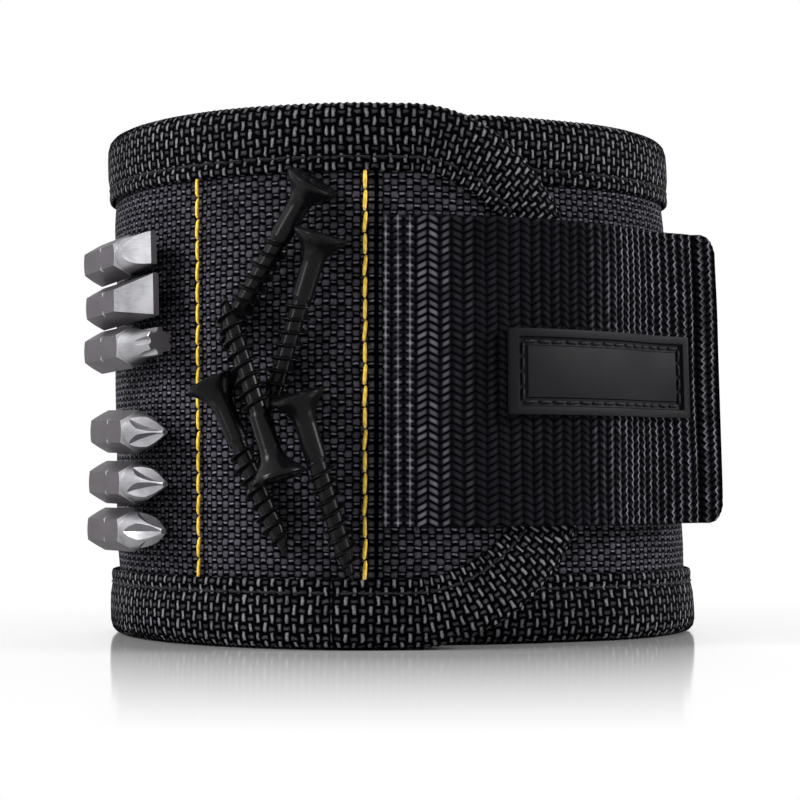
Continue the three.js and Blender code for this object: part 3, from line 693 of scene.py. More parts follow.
class Course:
    """A curve in plan, measured in millimetres from its second point, with the way out from the loop."""

    def __init__(self, points: Sequence[Sequence[float]], turn: int, lean: float = 1.0,
                 steps: int = 80) -> None:
        """Samples a centripetal spline.

        Args:
            points: plan places about the loop's axis.
            turn: 1 where outwards lies to the left of the way along it, -1 where it lies right.
            lean: how much of the loop's lean it takes.
            steps: samples from one point to the next.
        """
        self.lean = lean
        p = np.array(points, float)
        p = np.vstack([2 * p[0] - p[1], p, 2 * p[-1] - p[-2]])
        out = []
        for a, b, c, d in zip(p, p[1:], p[2:], p[3:]):
            t0, t1, t2 = (math.sqrt(math.dist(m, n)) for m, n in ((a, b), (b, c), (c, d)))
            m1 = ((b - a) / t0 - (c - a) / (t0 + t1) + (c - b) / t1) * t1
            m2 = ((c - b) / t1 - (d - b) / (t1 + t2) + (d - c) / t2) * t1
            t = np.linspace(0, 1, steps, endpoint=False)[:, None]
            out.append(b + m1 * t + (3 * (c - b) - 2 * m1 - m2) * t ** 2 + (2 * (b - c) + m1 + m2) * t ** 3)
        self.plan = np.vstack([*out, p[-2]])
        lengths = np.concatenate([[0], np.cumsum(np.linalg.norm(np.diff(self.plan, axis=0), axis=1))])
        self.arcs = lengths - lengths[steps]
        self.index = np.arange(len(lengths)) / steps
        self.length = float(self.arcs[-1])
        way = np.gradient(self.plan, self.arcs, axis=0)
        way /= np.linalg.norm(way, axis=1)[:, None]
        self.out = np.stack([-turn * way[:, 1], turn * way[:, 0]], 1)

    def arc_at(self, index: float) -> float:
        """The arc at one of the curve's points, which need not be a whole number."""
        return float(np.interp(index, self.index, self.arcs))

    def flat(self, arc: Any, offset: Any = 0.0) -> np.ndarray:
        """Plan places about the loop's axis.

        Args:
            arc: the way along the course.
            offset: the way out from it.

        Returns:
            An array with two columns, in millimetres.
        """
        spot = [np.interp(arc, self.arcs, self.plan[:, k]) for k in (0, 1)]
        out = [np.interp(arc, self.arcs, self.out[:, k]) for k in (0, 1)]
        return np.stack([spot[k] + out[k] * offset for k in (0, 1)], -1)

    def place(self, arc: Any, offset: Any, height: Any) -> np.ndarray:
        """Places on the object, in metres.

        Args:
            arc: the way along the course.
            offset: the way out from it.
            height: the height above the foot.

        Returns:
            An array with three columns.
        """
        arc, offset, height = np.broadcast_arrays(*(np.asarray(v, float) for v in (arc, offset, height)))
        plan = self.flat(arc, offset)
        spots = np.stack([plan[..., 0] + PLAN_SHIFT[0], plan[..., 1] + PLAN_SHIFT[1], height], -1)
        return settle(spots, self.lean)


def polar(degrees: float, radius: float) -> tuple[float, float]:
    """A plan place about the loop's axis."""
    angle = math.radians(degrees)
    return radius * math.cos(angle), radius * math.sin(angle)


@dataclass(frozen=True)
class Layout:
    """The sizes that every piece shares, in millimetres, and the three courses."""

    height: float = 88
    radius: float = 51.2
    seam: float = -94.5
    turn_step: float = 15
    fabric: float = 0.8
    lining: float = 0.6
    band_foam: float = 3.4
    flap_foam: float = 1.6
    gap: float = 0.15
    rest: float = 0.3
    tape: float = 0.6
    tape_width: float = 10.4
    thread: float = 0.2
    flap_length: float = 41.5
    flap_turn: float = 49.5
    strap_root: float = 1.3
    hook: float = 1.5
    loop: float = 1.5
    pocket_length: float = 147.8
    strap_height: float = 50
    strap_raised: float = 0.6
    strap_corner: float = 3
    strap_lean: float = 0.45
    strap_ends: tuple[tuple[float, float], ...] = ((296.5, 0.5), (282, 5.8))
    loop_turns: tuple[float, float] = (266, 303)
    edge_ring_arcs: tuple[float, ...] = (16, 11, 7, 3.5)
    edge_flap_arcs: tuple[float, ...] = (3.5, 7, 12, 18, 25, 32, 38, 42)
    ring_shares: tuple[float, ...] = (
        0.99, 0.996, 1.006, 1.012, 1.004, 0.992, 0.99, 0.994, 0.996, 0.998, 1, 1, 1, 1, 0.998, 0.996,
        0.994, 0.99, 0.986, 0.969, 0.93, 0.883, 0.822, 0.791, 0.771, 0.768, 0.777, 0.793)
    flap_shares: tuple[tuple[float, float], ...] = (
        (-0.15, -0.04), (0, 0), (0.15, 0.08), (0.35, 0.3), (0.6, 0.72), (0.8, 0.95), (1, 1), (1.1, 1.02))
    strap_shares: tuple[tuple[float, float], ...] = (
        (-0.1, 0), (0, 0), (0.2, 0.02), (0.36, 0.3), (0.52, 0.9), (0.68, 1), (0.84, 1), (1, 1))
    courses: dict[str, Course] = field(default_factory=dict)

    def __post_init__(self) -> None:
        """Lays the ring, the flap and the strap as the solids have them."""
        ring = Course([polar(self.seam - (i - 1) * self.turn_step, share * self.radius)
                       for i, share in enumerate(self.ring_shares)], 1)
        self.courses["ring"] = ring
        first = self.ring_shares[1] * self.radius - 1
        under = float(np.linalg.norm(ring.flat(self.ring_arc(360 - self.flap_turn))))
        last = under + 2 * self.proud + self.rest + self.flap_depth
        flap = Course([polar(self.seam + turn * self.flap_turn, first + (last - first) * blend)
                       for turn, blend in self.flap_shares], -1)
        self.courses["flap"] = flap
        clear = self.proud + 2 * self.gap + 2 * self.thread
        reach = self.flap_length - self.strap_root
        over = [flap.flat(self.strap_root + along * reach, self.rest + lift * clear)
                for along, lift in self.strap_shares]
        stack = 2 * self.gap + self.loop + self.rest + self.hook
        ends = [ring.flat(self.ring_arc(turn), stack + lift) for turn, lift in self.strap_ends]
        self.courses["strap"] = Course([*over, *ends], -1, self.strap_lean)
        edge = [*map(ring.flat, self.edge_ring_arcs), *map(flap.flat, self.edge_flap_arcs)]
        self.courses["edge"] = Course(edge, -1)

    @property
    def proud(self) -> float:
        """How far the binding stands proud of the cloth."""
        return self.gap + self.tape

    @property
    def band_depth(self) -> float:
        """The band's layers together."""
        return self.fabric + self.band_foam + self.lining + 2 * self.gap

    @property
    def flap_depth(self) -> float:
        """The flap's layers together."""
        return self.fabric + self.flap_foam + self.lining + 2 * self.gap

    @property
    def middle(self) -> float:
        """The band's middle height."""
        return self.height / 2

    @property
    def strap_middle(self) -> float:
        """The strap's middle height."""
        return self.middle + self.strap_raised

    @property
    def bays(self) -> tuple[float, ...]:
        """The arcs of the four yellow rows."""
        return 1.6, 31.9, 115.9, 146.2

    def ring_arc(self, turn: float) -> float:
        """The ring's arc after a turn in degrees from the seam."""
        return self.courses["ring"].arc_at(1 + turn / self.turn_step)


@dataclass(frozen=True)
class Cut:
    """The cut shape of a strip on its course: straight from its start, with rounded corners at its end."""

    course: Course
    start: float
    end: float
    half: float
    middle: float
    corner_length: float
    corner_height: float

    def reach(self, arc: np.ndarray) -> np.ndarray:
        """Half the strip's height.

        Args:
            arc: the way along its course.

        Returns:
            The height in millimetres.
        """
        along = np.clip((np.asarray(arc, float) - self.end + self.corner_length) / self.corner_length, 0, 1)
        return self.half - self.corner_height * (1 - np.sqrt(1 - along * along))

    def area(self) -> float:
        """The cut's flat area in square metres."""
        arcs = np.linspace(self.start, self.end, 2000)
        return float(np.trapz(2 * self.reach(arcs), arcs)) * MM * MM

    def edge(self, step: float) -> list[np.ndarray]:
        """The edge from the start along the top, round the end and back along the foot.

        Args:
            step: the way between two places on it.

        Returns:
            The arcs, the rises from the middle, and the ways in from the edge along and up.
        """
        bend = self.end - self.corner_length
        straight = np.arange(self.start, bend, step)
        count = int(math.pi / 2 * math.sqrt((self.corner_length ** 2 + self.corner_height ** 2) / 2) / step)
        angle = np.linspace(0, math.pi / 2, count + 1)
        arc = np.concatenate([straight, bend + self.corner_length * np.sin(angle)])
        rise = np.concatenate([np.full(len(straight), self.half),
                               self.half - self.corner_height * (1 - np.cos(angle))])
        inward = np.stack([-np.sin(angle) / self.corner_length, -np.cos(angle) / self.corner_height], 1)
        inward /= np.linalg.norm(inward, axis=1)[:, None]
        inward = np.vstack([np.tile([0.0, -1.0], (len(straight), 1)), inward])
        skip = 1 if self.corner_height >= self.half else 0
        back = slice(len(arc) - 1 - skip, None, -1)
        parts = ((arc, 1), (rise, -1), (inward[:, 0], 1), (inward[:, 1], -1))
        return [np.concatenate([part, sign * part[back]]) for part, sign in parts]


# Mesh tools


def deselect() -> None:
    """Leaves object mode with nothing selected."""
    if bpy.context.object and bpy.context.object.mode != "OBJECT":
        bpy.ops.object.mode_set(mode="OBJECT")
    bpy.ops.object.select_all(action="DESELECT")


def pick(piece: bpy.types.Object) -> None:
    """Selects one piece alone.

    Args:
        piece: the piece.
    """
    deselect()
    piece.select_set(True)
    bpy.context.view_layer.objects.active = piece


def apply_modifier(piece: bpy.types.Object, kind: str, **settings: Any) -> None:
    """Adds a modifier to a piece and applies it.

    Args:
        piece: the piece.
        kind: the modifier's type.
        settings: what is set on it.
    """
    pick(piece)
    modifier = piece.modifiers.new(kind.lower(), kind)
    for key, value in settings.items():
        setattr(modifier, key, value)
    bpy.ops.object.modifier_apply(modifier=modifier.name)


def edit(piece: bpy.types.Object) -> None:
    """Goes into edit mode with all of one piece selected.

    Args:
        piece: the piece.
    """
    pick(piece)
    bpy.ops.object.mode_set(mode="EDIT")
    bpy.ops.mesh.select_all(action="SELECT")


def edit_faces(piece: bpy.types.Object, chosen: Callable[[Vector], bool]) -> None:
    """Goes into edit mode with some of a piece's faces selected.

    Args:
        piece: the piece.
        chosen: says of a face's normal whether the face is selected.
    """
    edit(piece)
    bpy.ops.mesh.select_mode(type="FACE")
    bpy.ops.mesh.select_all(action="DESELECT")
    mesh = bmesh.from_edit_mesh(piece.data)
    for face in mesh.faces:
        face.select_set(chosen(face.normal))
    bmesh.update_edit_mesh(piece.data)


def face_out(piece: bpy.types.Object) -> None:
    """Turns all faces of a piece outwards.

    Args:
        piece: the piece.
    """
    edit(piece)
    bpy.ops.mesh.normals_make_consistent(inside=False)
    bpy.ops.object.mode_set(mode="OBJECT")


def smoothed(piece: bpy.types.Object, name: str, sharp: float) -> bpy.types.Object:
    """Names a piece and makes it smooth but at its sharp edges.

    Args:
        piece: the piece.
        name: its name.
        sharp: the angle past which an edge stays sharp, in degrees.

    Returns:
        The piece.
    """
    piece.name = piece.data.name = name
    piece.data.shade_smooth()
    piece.data.set_sharp_from_angle(angle=math.radians(sharp))
    return piece


def linked(name: str, mesh: bpy.types.Mesh) -> bpy.types.Object:
    """A piece in the scene from a finished mesh.

    Args:
        name: its name.
        mesh: its mesh.

    Returns:
        The piece.
    """
    piece = bpy.data.objects.new(name, mesh)
    bpy.context.scene.collection.objects.link(piece)
    return piece


def charted(name: str, points: Sequence[Any], faces: Sequence[Any], chart: Any) -> bpy.types.Mesh:
    """A mesh with the piece's own map.

    Args:
        name: its name.
        points: its places in metres.
        faces: its faces, as the numbers of their points.
        chart: the map in millimetres, by the faces' corners.

    Returns:
        The mesh.
    """
    mesh = bpy.data.meshes.new(name)
    mesh.from_pydata(points, [], faces)
    layer = mesh.uv_layers.new(name="cut")
    layer.data.foreach_set("uv", np.asarray(chart, np.float32).ravel())
    return mesh


def lofted(name: str, rows: np.ndarray, chart: np.ndarray) -> bpy.types.Object:
    """A closed body of cloth or thread through a row of like outlines.

    Args:
        name: the piece's name.
        rows: its outlines' places in metres, by row, point and axis.
        chart: its own map in millimetres, by row, point (one more than the outline has) and axis.

    Returns:
        The piece.
    """
    count, ring = rows.shape[:2]
    points = rows.reshape(-1, 3)
    i, j = np.meshgrid(np.arange(count - 1), np.arange(ring), indexing="ij")
    k = (j + 1) % ring
    quads = np.stack([i * ring + j, i * ring + k, (i + 1) * ring + k, (i + 1) * ring + j], -1).reshape(-1, 4)
    corners = np.stack([chart[i, j], chart[i, j + 1], chart[i + 1, j + 1], chart[i + 1, j]], 2).reshape(-1, 2)
    faces = [tuple(q) for q in quads.tolist()]
    tri = points[quads]
    spread = np.cross(tri[:, 2] - tri[:, 0], tri[:, 3] - tri[:, 1])
    inside_out = ((tri[:, 0] - points[0]) * spread).sum() < 0
    for row, flip in ((0, True), (count - 1, False)):
        for n in range(ring // 2 - 1):
            a, b = row * ring + n, row * ring + n + 1
            c, d = row * ring + ring - 2 - n, row * ring + ring - 1 - n
            face = (a, b, c, d) if b != c else (a, b, d)
            faces.append(face[::-1] if flip else face)
            corners = np.vstack([corners, [chart[row, f - row * ring] for f in faces[-1]]])
    mesh = charted(name, points.tolist(), faces, corners)
    if inside_out:
        mesh.flip_normals()
    mesh.update()
    return smoothed(linked(name, mesh), name, 50)


def turned(steps: Sequence[tuple[float, float]], sides: int) -> bpy.types.Object:
    """A round body about +Z, drawn out of one circle.

    Args:
        steps: its radius at each height, from low to high.
        sides: the sides of the circle.

    Returns:
        The piece, with its normals outwards.
    """
    deselect()
    radius, foot = steps[0]
    bpy.ops.mesh.primitive_circle_add(vertices=sides, radius=radius, fill_type="NGON", location=(0, 0, foot))
    piece = bpy.context.object
    bpy.ops.object.transform_apply(location=True, rotation=True, scale=True)
    edit(piece)
    for (was, low), (now, high) in zip(steps, steps[1:]):
        bpy.ops.mesh.extrude_region_move(TRANSFORM_OT_translate={"value": (0, 0, high - low)})
        bpy.ops.transform.resize(value=(now / was, now / was, 1), center_override=(0, 0, high))
    face_out(piece)
    return piece


def box(size: Axes, middle: Axes, turn: float = 0.0) -> bpy.types.Object:
    """A plain box.

    Args:
        size: its three sizes.
        middle: the place of its middle.
        turn: how far it is turned about +Z, in radians.

    Returns:
        The piece.
    """
    deselect()
    bpy.ops.mesh.primitive_cube_add(size=1, location=middle, scale=size, rotation=(0, 0, turn))
    bpy.ops.object.transform_apply(location=True, rotation=True, scale=True)
    return bpy.context.object


def carve(piece: bpy.types.Object, tool: bpy.types.Object, operation: str = "DIFFERENCE") -> None:
    """Cuts a piece with a tool, or keeps what both share, and drops the tool."""
    apply_modifier(piece, "BOOLEAN", object=tool, operation=operation, solver="EXACT")
    bpy.data.objects.remove(tool)


def joined(name: str, pieces: Sequence[bpy.types.Object]) -> bpy.types.Object:
    """Joins pieces into the first.

    Args:
        name: its new name.
        pieces: the pieces.

    Returns:
        The joined piece.
    """
    pick(pieces[0])
    for piece in pieces[1:]:
        piece.select_set(True)
    bpy.ops.object.join()
    pieces[0].name = pieces[0].data.name = name
    return pieces[0]


made_finishes: dict[Finish, bpy.types.Material] = {}


def dress(piece: bpy.types.Object, finish: Finish, body: str | None, *nodes: str) -> bpy.types.Object:
    """Gives a piece its finish and its body, and hides the CAD nodes that it replaces.

    Args:
        piece: the piece.
        finish: one of the finishes.
        body: the body it rides on, or None for a piece that runs between two.
        nodes: the CAD nodes that it replaces.

    Returns:
        The piece.
    """
    piece.data.materials.clear()
    if finish not in made_finishes:
        made_finishes[finish] = finish.material()
    piece.data.materials.append(made_finishes[finish])
    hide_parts(*nodes)
    if body:
        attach(piece, body)
    log.info("%s: %d faces", piece.name, len(piece.data.polygons))
    return piece


Relief = Callable[[np.ndarray, np.ndarray], np.ndarray]


def strip(name: str, cut: Cut, outer: float, inner: float, along: float, across: int,
          relief: Relief | None = None, follow: float = 0.0, back: int = 5, first: float | None = None,
          last: float | None = None) -> bpy.types.Object:
    """A layer of cloth on its course.

    Args:
        name: the piece's name.
        cut: its cut shape.
        outer: its outer face, out from the course.
        inner: its inner face.
        along: the way between two of its rows.
        across: the points over its outer face.
        relief: how its outer face rises, by arc and rise.
        follow: the share of that which its inner face follows.
        back: the points over its inner face.
        first: where it starts, if not at the cut's start.
        last: where it ends, if not at the cut's end.

    Returns:
        The piece.
    """
    start, end = cut.start if first is None else first, cut.end if last is None else last
    count = max(int((end - start) / along), 2)
    arcs = np.linspace(start, end, count + 1)
    if last is None:
        bend = cut.end - cut.corner_length
        round_end = bend + cut.corner_length * np.sin(np.linspace(0, math.pi / 2, 26)[:-1])
        arcs = np.unique(np.concatenate([arcs[arcs < bend], round_end, [cut.end - 0.02]]))
    front = np.linspace(-1, 1, across)
    rear = np.linspace(1, -1, back)
    share = np.concatenate([front, rear])
    rise = np.maximum(cut.reach(arcs), 0.3)[:, None] * share
    lift = relief(arcs[:, None] + 0 * rise, rise) if relief else 0 * rise
    offset = np.where(np.arange(len(share)) < across, outer + lift, inner + lift * follow)
    trim = np.isin(np.arange(len(share)), [0, across - 1])
    rounding = min(0.25, (outer - inner) / 3)
    offset = np.where(trim, offset - rounding, offset)
    rows = cut.course.place(arcs[:, None], offset, cut.middle + rise)
    chart = np.stack([arcs[:, None] + 0 * rise, rise], -1)
    chart = np.concatenate([chart, chart[:, :1]], 1)
    return lofted(name, rows, chart)


def stitch(first: np.ndarray, last: np.ndarray, above: np.ndarray) -> Stitch:
    """One stitch.

    Args:
        first: the place of its one end.
        last: the place of its other end.
        above: a place over its middle.

    Returns:
        Its two ends and the way out of the cloth.
    """
    out = above - (first + last) / 2
    return first, last, out / np.linalg.norm(out)


def stitches(name: str, ends: Sequence[Stitch], radius: float, sides: int = 6) -> bpy.types.Object:
    """Separate stitches, each a short swollen stretch of thread.

    Args:
        name: the piece's name.
        ends: each stitch's two ends and the way out of the cloth, in metres.
        radius: the thread's radius in millimetres.
        sides: the sides of the thread.

    Returns:
        The piece.
    """
    shares = np.array([0, 0.05, 0.16, 0.5, 0.84, 0.95, 1])
    swell = np.array([0.35, 0.72, 1, 1.08, 1, 0.72, 0.35])
    sink = np.array([-0.5, -0.1, 0.25, 0.45, 0.25, -0.1, -0.5])
    angle = np.linspace(0, FULL_TURN, sides, endpoint=False)
    last = len(shares) - 1
    points, faces, chart = [], [], []
    for n, (a, b, out) in enumerate(ends):
        way = (b - a) / np.linalg.norm(b - a)
        side = np.cross(way, out)
        lean = 0.16 * math.sin(n * 2.4)
        base = len(points)
        for share, fat, drop in zip(shares, swell, sink):
            sway = side * lean * (share - 0.5) * 4 * radius * MM
            centre = a + (b - a) * share + out * drop * radius * MM + sway
            for t in angle:
                spot = centre + (out * math.cos(t) + side * math.sin(t)) * fat * radius * MM
                points.append(spot.tolist())
        for r in range(last):
            low, high = (r + n * 3) * 0.5, (r + 1 + n * 3) * 0.5
            for k in range(sides):
                m, p = (k + 1) % sides, base + r * sides
                faces.append((p + k, p + m, p + sides + m, p + sides + k))
                left, right = k / sides, (k + 1) / sides
                chart += [(left, low), (right, low), (right, high), (left, high)]
        for r, order in ((0, -1), (last, 1)):
            faces.append(tuple(base + r * sides + k for k in range(sides))[::order])
            chart += [(0.5, n)] * sides
    piece = smoothed(linked(name, charted(name, points, faces, chart)), name, 60)
    face_out(piece)
    return piece


# Sub-assemblies


@dataclass
class Edge:
    """A binding tape folded over an edge, with the seam that holds it."""

    layout: Layout
    cut: Cut
    depths: tuple[float, float]
    step: float = 0.33
    depth_change: float = 10
    scallop: float = 0.13
    seam_inset: float = 2.2
    stitch_length: float = 2.9
    stitch_gap: float = 0.2
    stitch_lift: float = 0.62

    def profile(self, depth: float) -> np.ndarray:
        """The tape's outer line.

        Args:
            depth: the layers that it holds, together.

        Returns:
            By point, the way in from the edge and the way out from the course.
        """
        wide, proud = self.layout.tape_width, self.layout.proud
        seam = wide - self.seam_inset
        front = [(wide + 0.05, 0.35), (wide - 0.1, 0.68), (wide - 0.8, 0.82), (seam + 0.5, 0.72),
                 (seam, 0.5), (seam - 0.5, 0.74), (6, 1.0), (3.4, 1.05), (1.4, 0.95), (0.2, 0.6),
                 (-0.45, 0.0), (-0.72, -0.9)]
        rear = [(w, -depth - o) for w, o in reversed(front[3:])]
        return np.array([*front, *rear[1:], (wide - 0.8, -depth - proud), (wide, -depth - proud + 0.15)])

    def build(self, name: str) -> bpy.types.Object:
        """The tape as one folded strip, whose flat size it notes.

        Args:
            name: the piece's name.

        Returns:
            The piece.
        """
        arc, rise, way_along, way_up = self.cut.edge(self.step)
        run = np.concatenate([[0], np.cumsum(np.hypot(np.diff(arc), np.diff(rise)))])
        share = smooth((arc - self.cut.start) / self.depth_change)[:, None, None]
        line = self.profile(self.depths[0]) * (1 - share) + self.profile(self.depths[1]) * share
        way = np.gradient(line, axis=1)
        way /= np.linalg.norm(way, axis=2)[:, :, None]
        into = np.stack([way[:, :, 1], -way[:, :, 0]], -1)
        if (into[0, 0, 1] > 0) == (line[0, 5, 1] > 0):
            into = -into
        wave = np.cos(FULL_TURN * run / TAPE.column)[:, None] * self.scallop
        tall = np.clip(1 - np.abs(line[:, :, 0] + 0.5) / 4, 0.15, 1)
        outer = line - into * (wave * tall)[:, :, None]
        inner = (line + into * self.layout.tape)[:, ::-1]
        both = np.concatenate([outer, inner], 1)
        w, o = both[..., 0], both[..., 1]
        rows = self.cut.course.place(arc[:, None] + way_along[:, None] * w, o,
                                     self.cut.middle + rise[:, None] + way_up[:, None] * w)
        lengths = np.concatenate([[0], np.cumsum(np.linalg.norm(np.diff(line[0], axis=0), axis=1))])
        lengths = np.concatenate([lengths, lengths[::-1], lengths[:1]])
        chart = np.stack(np.broadcast_arrays(run[:, None], lengths[None, :]), -1)
        self.flat = (float(lengths.max()) * MM, float(run[-1]) * MM)
        return lofted(name, rows, chart)

    def seam(self, name: str) -> bpy.types.Object:
        """The stitches that hold the tape.

        Args:
            name: the piece's name.

        Returns:
            The piece.
        """
        arc, rise, way_along, way_up = self.cut.edge(self.step)
        inset = self.layout.tape_width - self.seam_inset
        along, high = arc + way_along * inset, self.cut.middle + rise + way_up * inset
        line, above = (self.cut.course.place(along, self.stitch_lift + lift, high) for lift in (0, 1))
        run = np.concatenate([[0], np.cumsum(np.linalg.norm(np.diff(line, axis=0), axis=1))]) / MM

        def spot(way: float, on: np.ndarray) -> np.ndarray:
            """The place on the seam's line, or above it, a way from its start."""
            return np.array([np.interp(way, run, on[:, k]) for k in range(3)])

        ends = []
        for low in np.arange(1, run[-1] - self.stitch_length, self.stitch_length):
            a, b = (spot(low + t, line) for t in (self.stitch_gap, self.stitch_length - self.stitch_gap))
            ends.append(stitch(a, b, spot(low + self.stitch_length / 2, above)))
        return stitches(name, ends, self.layout.thread, sides=5)


@dataclass
class Band:
    """The band: pocket fabric, outer fabric, foam, lining, binding and the yellow rows."""

    layout: Layout
    start: float = 0.2
    corner: float = 14
    binding_start: float = 7.0
    taut_from: float = 28
    taut_over: float = 5
    foam_drop: float = 0.35
    row_dip: float = 0.55
    row_width: float = 1.5
    stitch_length: float = 3.5
    stitch_radius: float = 0.3

    def __post_init__(self) -> None:
        """Cuts the band's blank."""
        l = self.layout
        ring, half = l.courses["ring"], l.middle - l.proud
        self.cut = Cut(ring, self.start, ring.length - l.proud, half, l.middle, self.corner, self.corner)

    def near_tape(self, rise: np.ndarray) -> np.ndarray:
        """How near the binding the cloth is, from 0 to 1."""
        return smooth((np.abs(rise) - self.taut_from) / self.taut_over)

    def relief(self, arc: np.ndarray, rise: np.ndarray) -> np.ndarray:
        """The pocket fabric: drawn in at each yellow row and along the binding, a little uneven between.

        Args:
            arc: the way along the band.
            rise: the way up from its middle.

        Returns:
            How far it stands out, in millimetres.
        """
        rows = sum(np.exp(-((arc - row) / self.row_width) ** 2) for row in self.layout.bays)
        tucks = 1 + 0.25 * np.cos(FULL_TURN * rise / self.stitch_length)
        waves = 0.12 * np.sin(arc * 0.21 + rise * 0.13) + 0.1 * np.sin(arc * 0.09 - rise * 0.24 + 2)
        drawn = -self.row_dip * rows * tucks - 0.2 - 0.25 * self.near_tape(rise)
        return drawn + waves * (1 - np.clip(rows, 0, 1))

    def ripple(self, arc: np.ndarray, rise: np.ndarray) -> np.ndarray:
        """The outer fabric: taut, with faint waves."""
        return -0.1 + 0.1 * np.sin(arc * 0.11 + rise * 0.1) - 0.2 * self.near_tape(rise)

    def swelling(self, arc: np.ndarray, rise: np.ndarray) -> np.ndarray:
        """The foam, which takes part in the pocket fabric's relief."""
        return np.where(arc < self.layout.pocket_length, self.relief(arc, rise) * 0.6, self.ripple(arc, rise))

    def cloth(self) -> None:
        """The fabric, the foam and the lining."""
        l, cut = self.layout, self.cut
        wide = 2 * cut.half
        pocket = strip("pocket_fabric", cut, 0, -l.fabric, along=0.9, across=97, relief=self.relief,
                       follow=1, back=25, last=l.pocket_length)
        dress(pocket, SHELL, "band", "pocket_panel")
        wide * MM
        (l.pocket_length - cut.start) * MM
        start = l.pocket_length + l.rest
        shell = strip("shell_fabric", cut, 0, -l.fabric, along=1.4, across=61, relief=self.ripple,
                      follow=1, back=15, first=start)
        dress(shell, SHELL, "band", "outer_shell")
        area = cut.area() - wide * (start - cut.start) * MM * MM
        wide * MM
        (cut.end - start) * MM
        outer = -l.fabric - l.gap
        foam = strip("band_foam", cut, outer - self.foam_drop, outer - l.band_foam, along=1.8,
                     across=33, relief=self.swelling, back=9)
        dress(foam, Foam(), "band", "band_padding")
        inner = outer - l.band_foam - l.gap
        lining = strip("band_inner_cloth", cut, inner, inner - l.lining, along=1.6, across=33)
        dress(lining, LINING, "band", "band_lining")
        wide * MM
        (cut.end - cut.start) * MM
        cut.area()

    def binding(self) -> None:
        """The binding round the band's edges, from just past the seam, and its stitches."""
        l, corner = self.layout, self.corner
        cut = Cut(self.cut.course, self.binding_start, self.cut.end, self.cut.half, l.middle, corner, corner)
        edge = Edge(l, cut, (l.band_depth, l.band_depth))
        tape = dress(edge.build("band_edge_tape"), TAPE, "band", "band_binding")
        dress(edge.seam("band_edge_stitches"), BLACK_THREAD, "band", "band_binding_thread")

    def yellow_rows(self) -> None:
        """The yellow rows between the pockets."""
        l, ring, length = self.layout, self.layout.courses["ring"], self.stitch_length
        reach = l.middle - l.proud - l.tape_width + 0.4
        count = int(2 * reach / length)
        low = l.middle - count * length / 2
        marks = ((0.1, 0.05, 0.06), (-0.1, 0.05, length - 0.06), (0, 1.05, length / 2))
        for n, arc in enumerate(l.bays, 1):
            ends = [stitch(*(ring.place(arc + lean, lift, low + i * length + up) for lean, lift, up in marks))
                    for i in range(count)]
            row = stitches(f"yellow_row_{n}", ends, self.stitch_radius, sides=8)
            dress(row, YELLOW, "band", f"pocket_stitching_{n}")

    def loop_side(self) -> None:
        """The loop half of the closure, sewn on under the strap."""
        l = self.layout
        start, end = map(l.ring_arc, l.loop_turns)
        cut = Cut(l.courses["ring"], start, end, l.strap_height / 2, l.strap_middle, l.strap_corner,
                  l.strap_corner)

        def tufts(arc: np.ndarray, rise: np.ndarray) -> np.ndarray:
            """The pile's uneven tips."""
            return 0.12 * np.sin(arc * 7.1 + 3 * np.sin(rise)) * np.sin(rise * 6.3 + arc)

        pile = strip("loop_pile", cut, l.gap + l.loop, l.gap, along=0.8, across=61, relief=tufts)
        dress(pile, Pile(), "band", "loop_panel")
        cut.area()

    def build(self) -> None:
        """Builds the whole band."""
        self.cloth()
        self.binding()
        self.yellow_rows()
        self.loop_side()


@dataclass
class Flap:
    """The flap at the band's outer end: fabric, foam, lining and the binding round its rounded end."""

    layout: Layout
    hinge_gap: float = 0.5
    rounding: float = 36
    binding_start: float = 7.2

    def __post_init__(self) -> None:
        """Cuts the flap's blank."""
        l = self.layout
        half = l.middle - l.proud
        self.cut = Cut(l.courses["flap"], self.hinge_gap, l.flap_length - l.proud, half, l.middle,
                       self.rounding - l.proud, half)

    def cloth(self) -> None:
        """The fabric, the foam and the lining."""
        l, cut = self.layout, self.cut
        size, area = (2 * cut.half * MM, (cut.end - cut.start) * MM), cut.area()
        outer = -l.fabric - l.gap
        inner = outer - l.flap_foam - l.gap

        def ripple(arc: np.ndarray, rise: np.ndarray) -> np.ndarray:
            """Faint waves over the flap."""
            return -0.1 + 0.1 * np.sin(arc * 0.2 + rise * 0.12)

        shell = strip("flap_fabric", cut, 0, -l.fabric, along=1.0, across=61, relief=ripple,
                      follow=1, back=15)
        dress(shell, SHELL, "flap", "flap_shell")
        foam = strip("flap_foam", cut, outer - 0.1, outer - l.flap_foam, along=1.6, across=21)
        dress(foam, Foam(), "flap", "flap_padding")
        lining = strip("flap_inner_cloth", cut, inner, inner - l.lining, along=1.6, across=21)
        dress(lining, LINING, "flap", "flap_lining")

    def binding(self) -> None:
        """The binding round the flap's edge, and its stitches; both run from the band onto the flap and are
        baked in place on neither body.
        """
        l, cut, course = self.layout, self.cut, self.layout.courses["edge"]

        def beside(spot: np.ndarray) -> float:
            """The edge course's arc that is nearest to a plan place."""
            return float(course.arcs[np.argmin(np.linalg.norm(course.plan - spot, axis=1))])

        start = beside(l.courses["ring"].flat(self.binding_start))
        end = beside(l.courses["flap"].flat(cut.end))
        bound = Cut(course, start, end, cut.half, l.middle, cut.corner_length, cut.corner_height)
        edge = Edge(l, bound, (l.band_depth, l.flap_depth))
        tape = dress(edge.build("flap_edge_tape"), TAPE, None, "flap_binding")
        thread = dress(edge.seam("flap_edge_stitches"), BLACK_THREAD, None, "flap_binding_thread")
        for piece in (tape, thread):
            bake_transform(piece)

    def build(self) -> None:
        """Builds the whole flap."""
        self.cloth()
        self.binding()


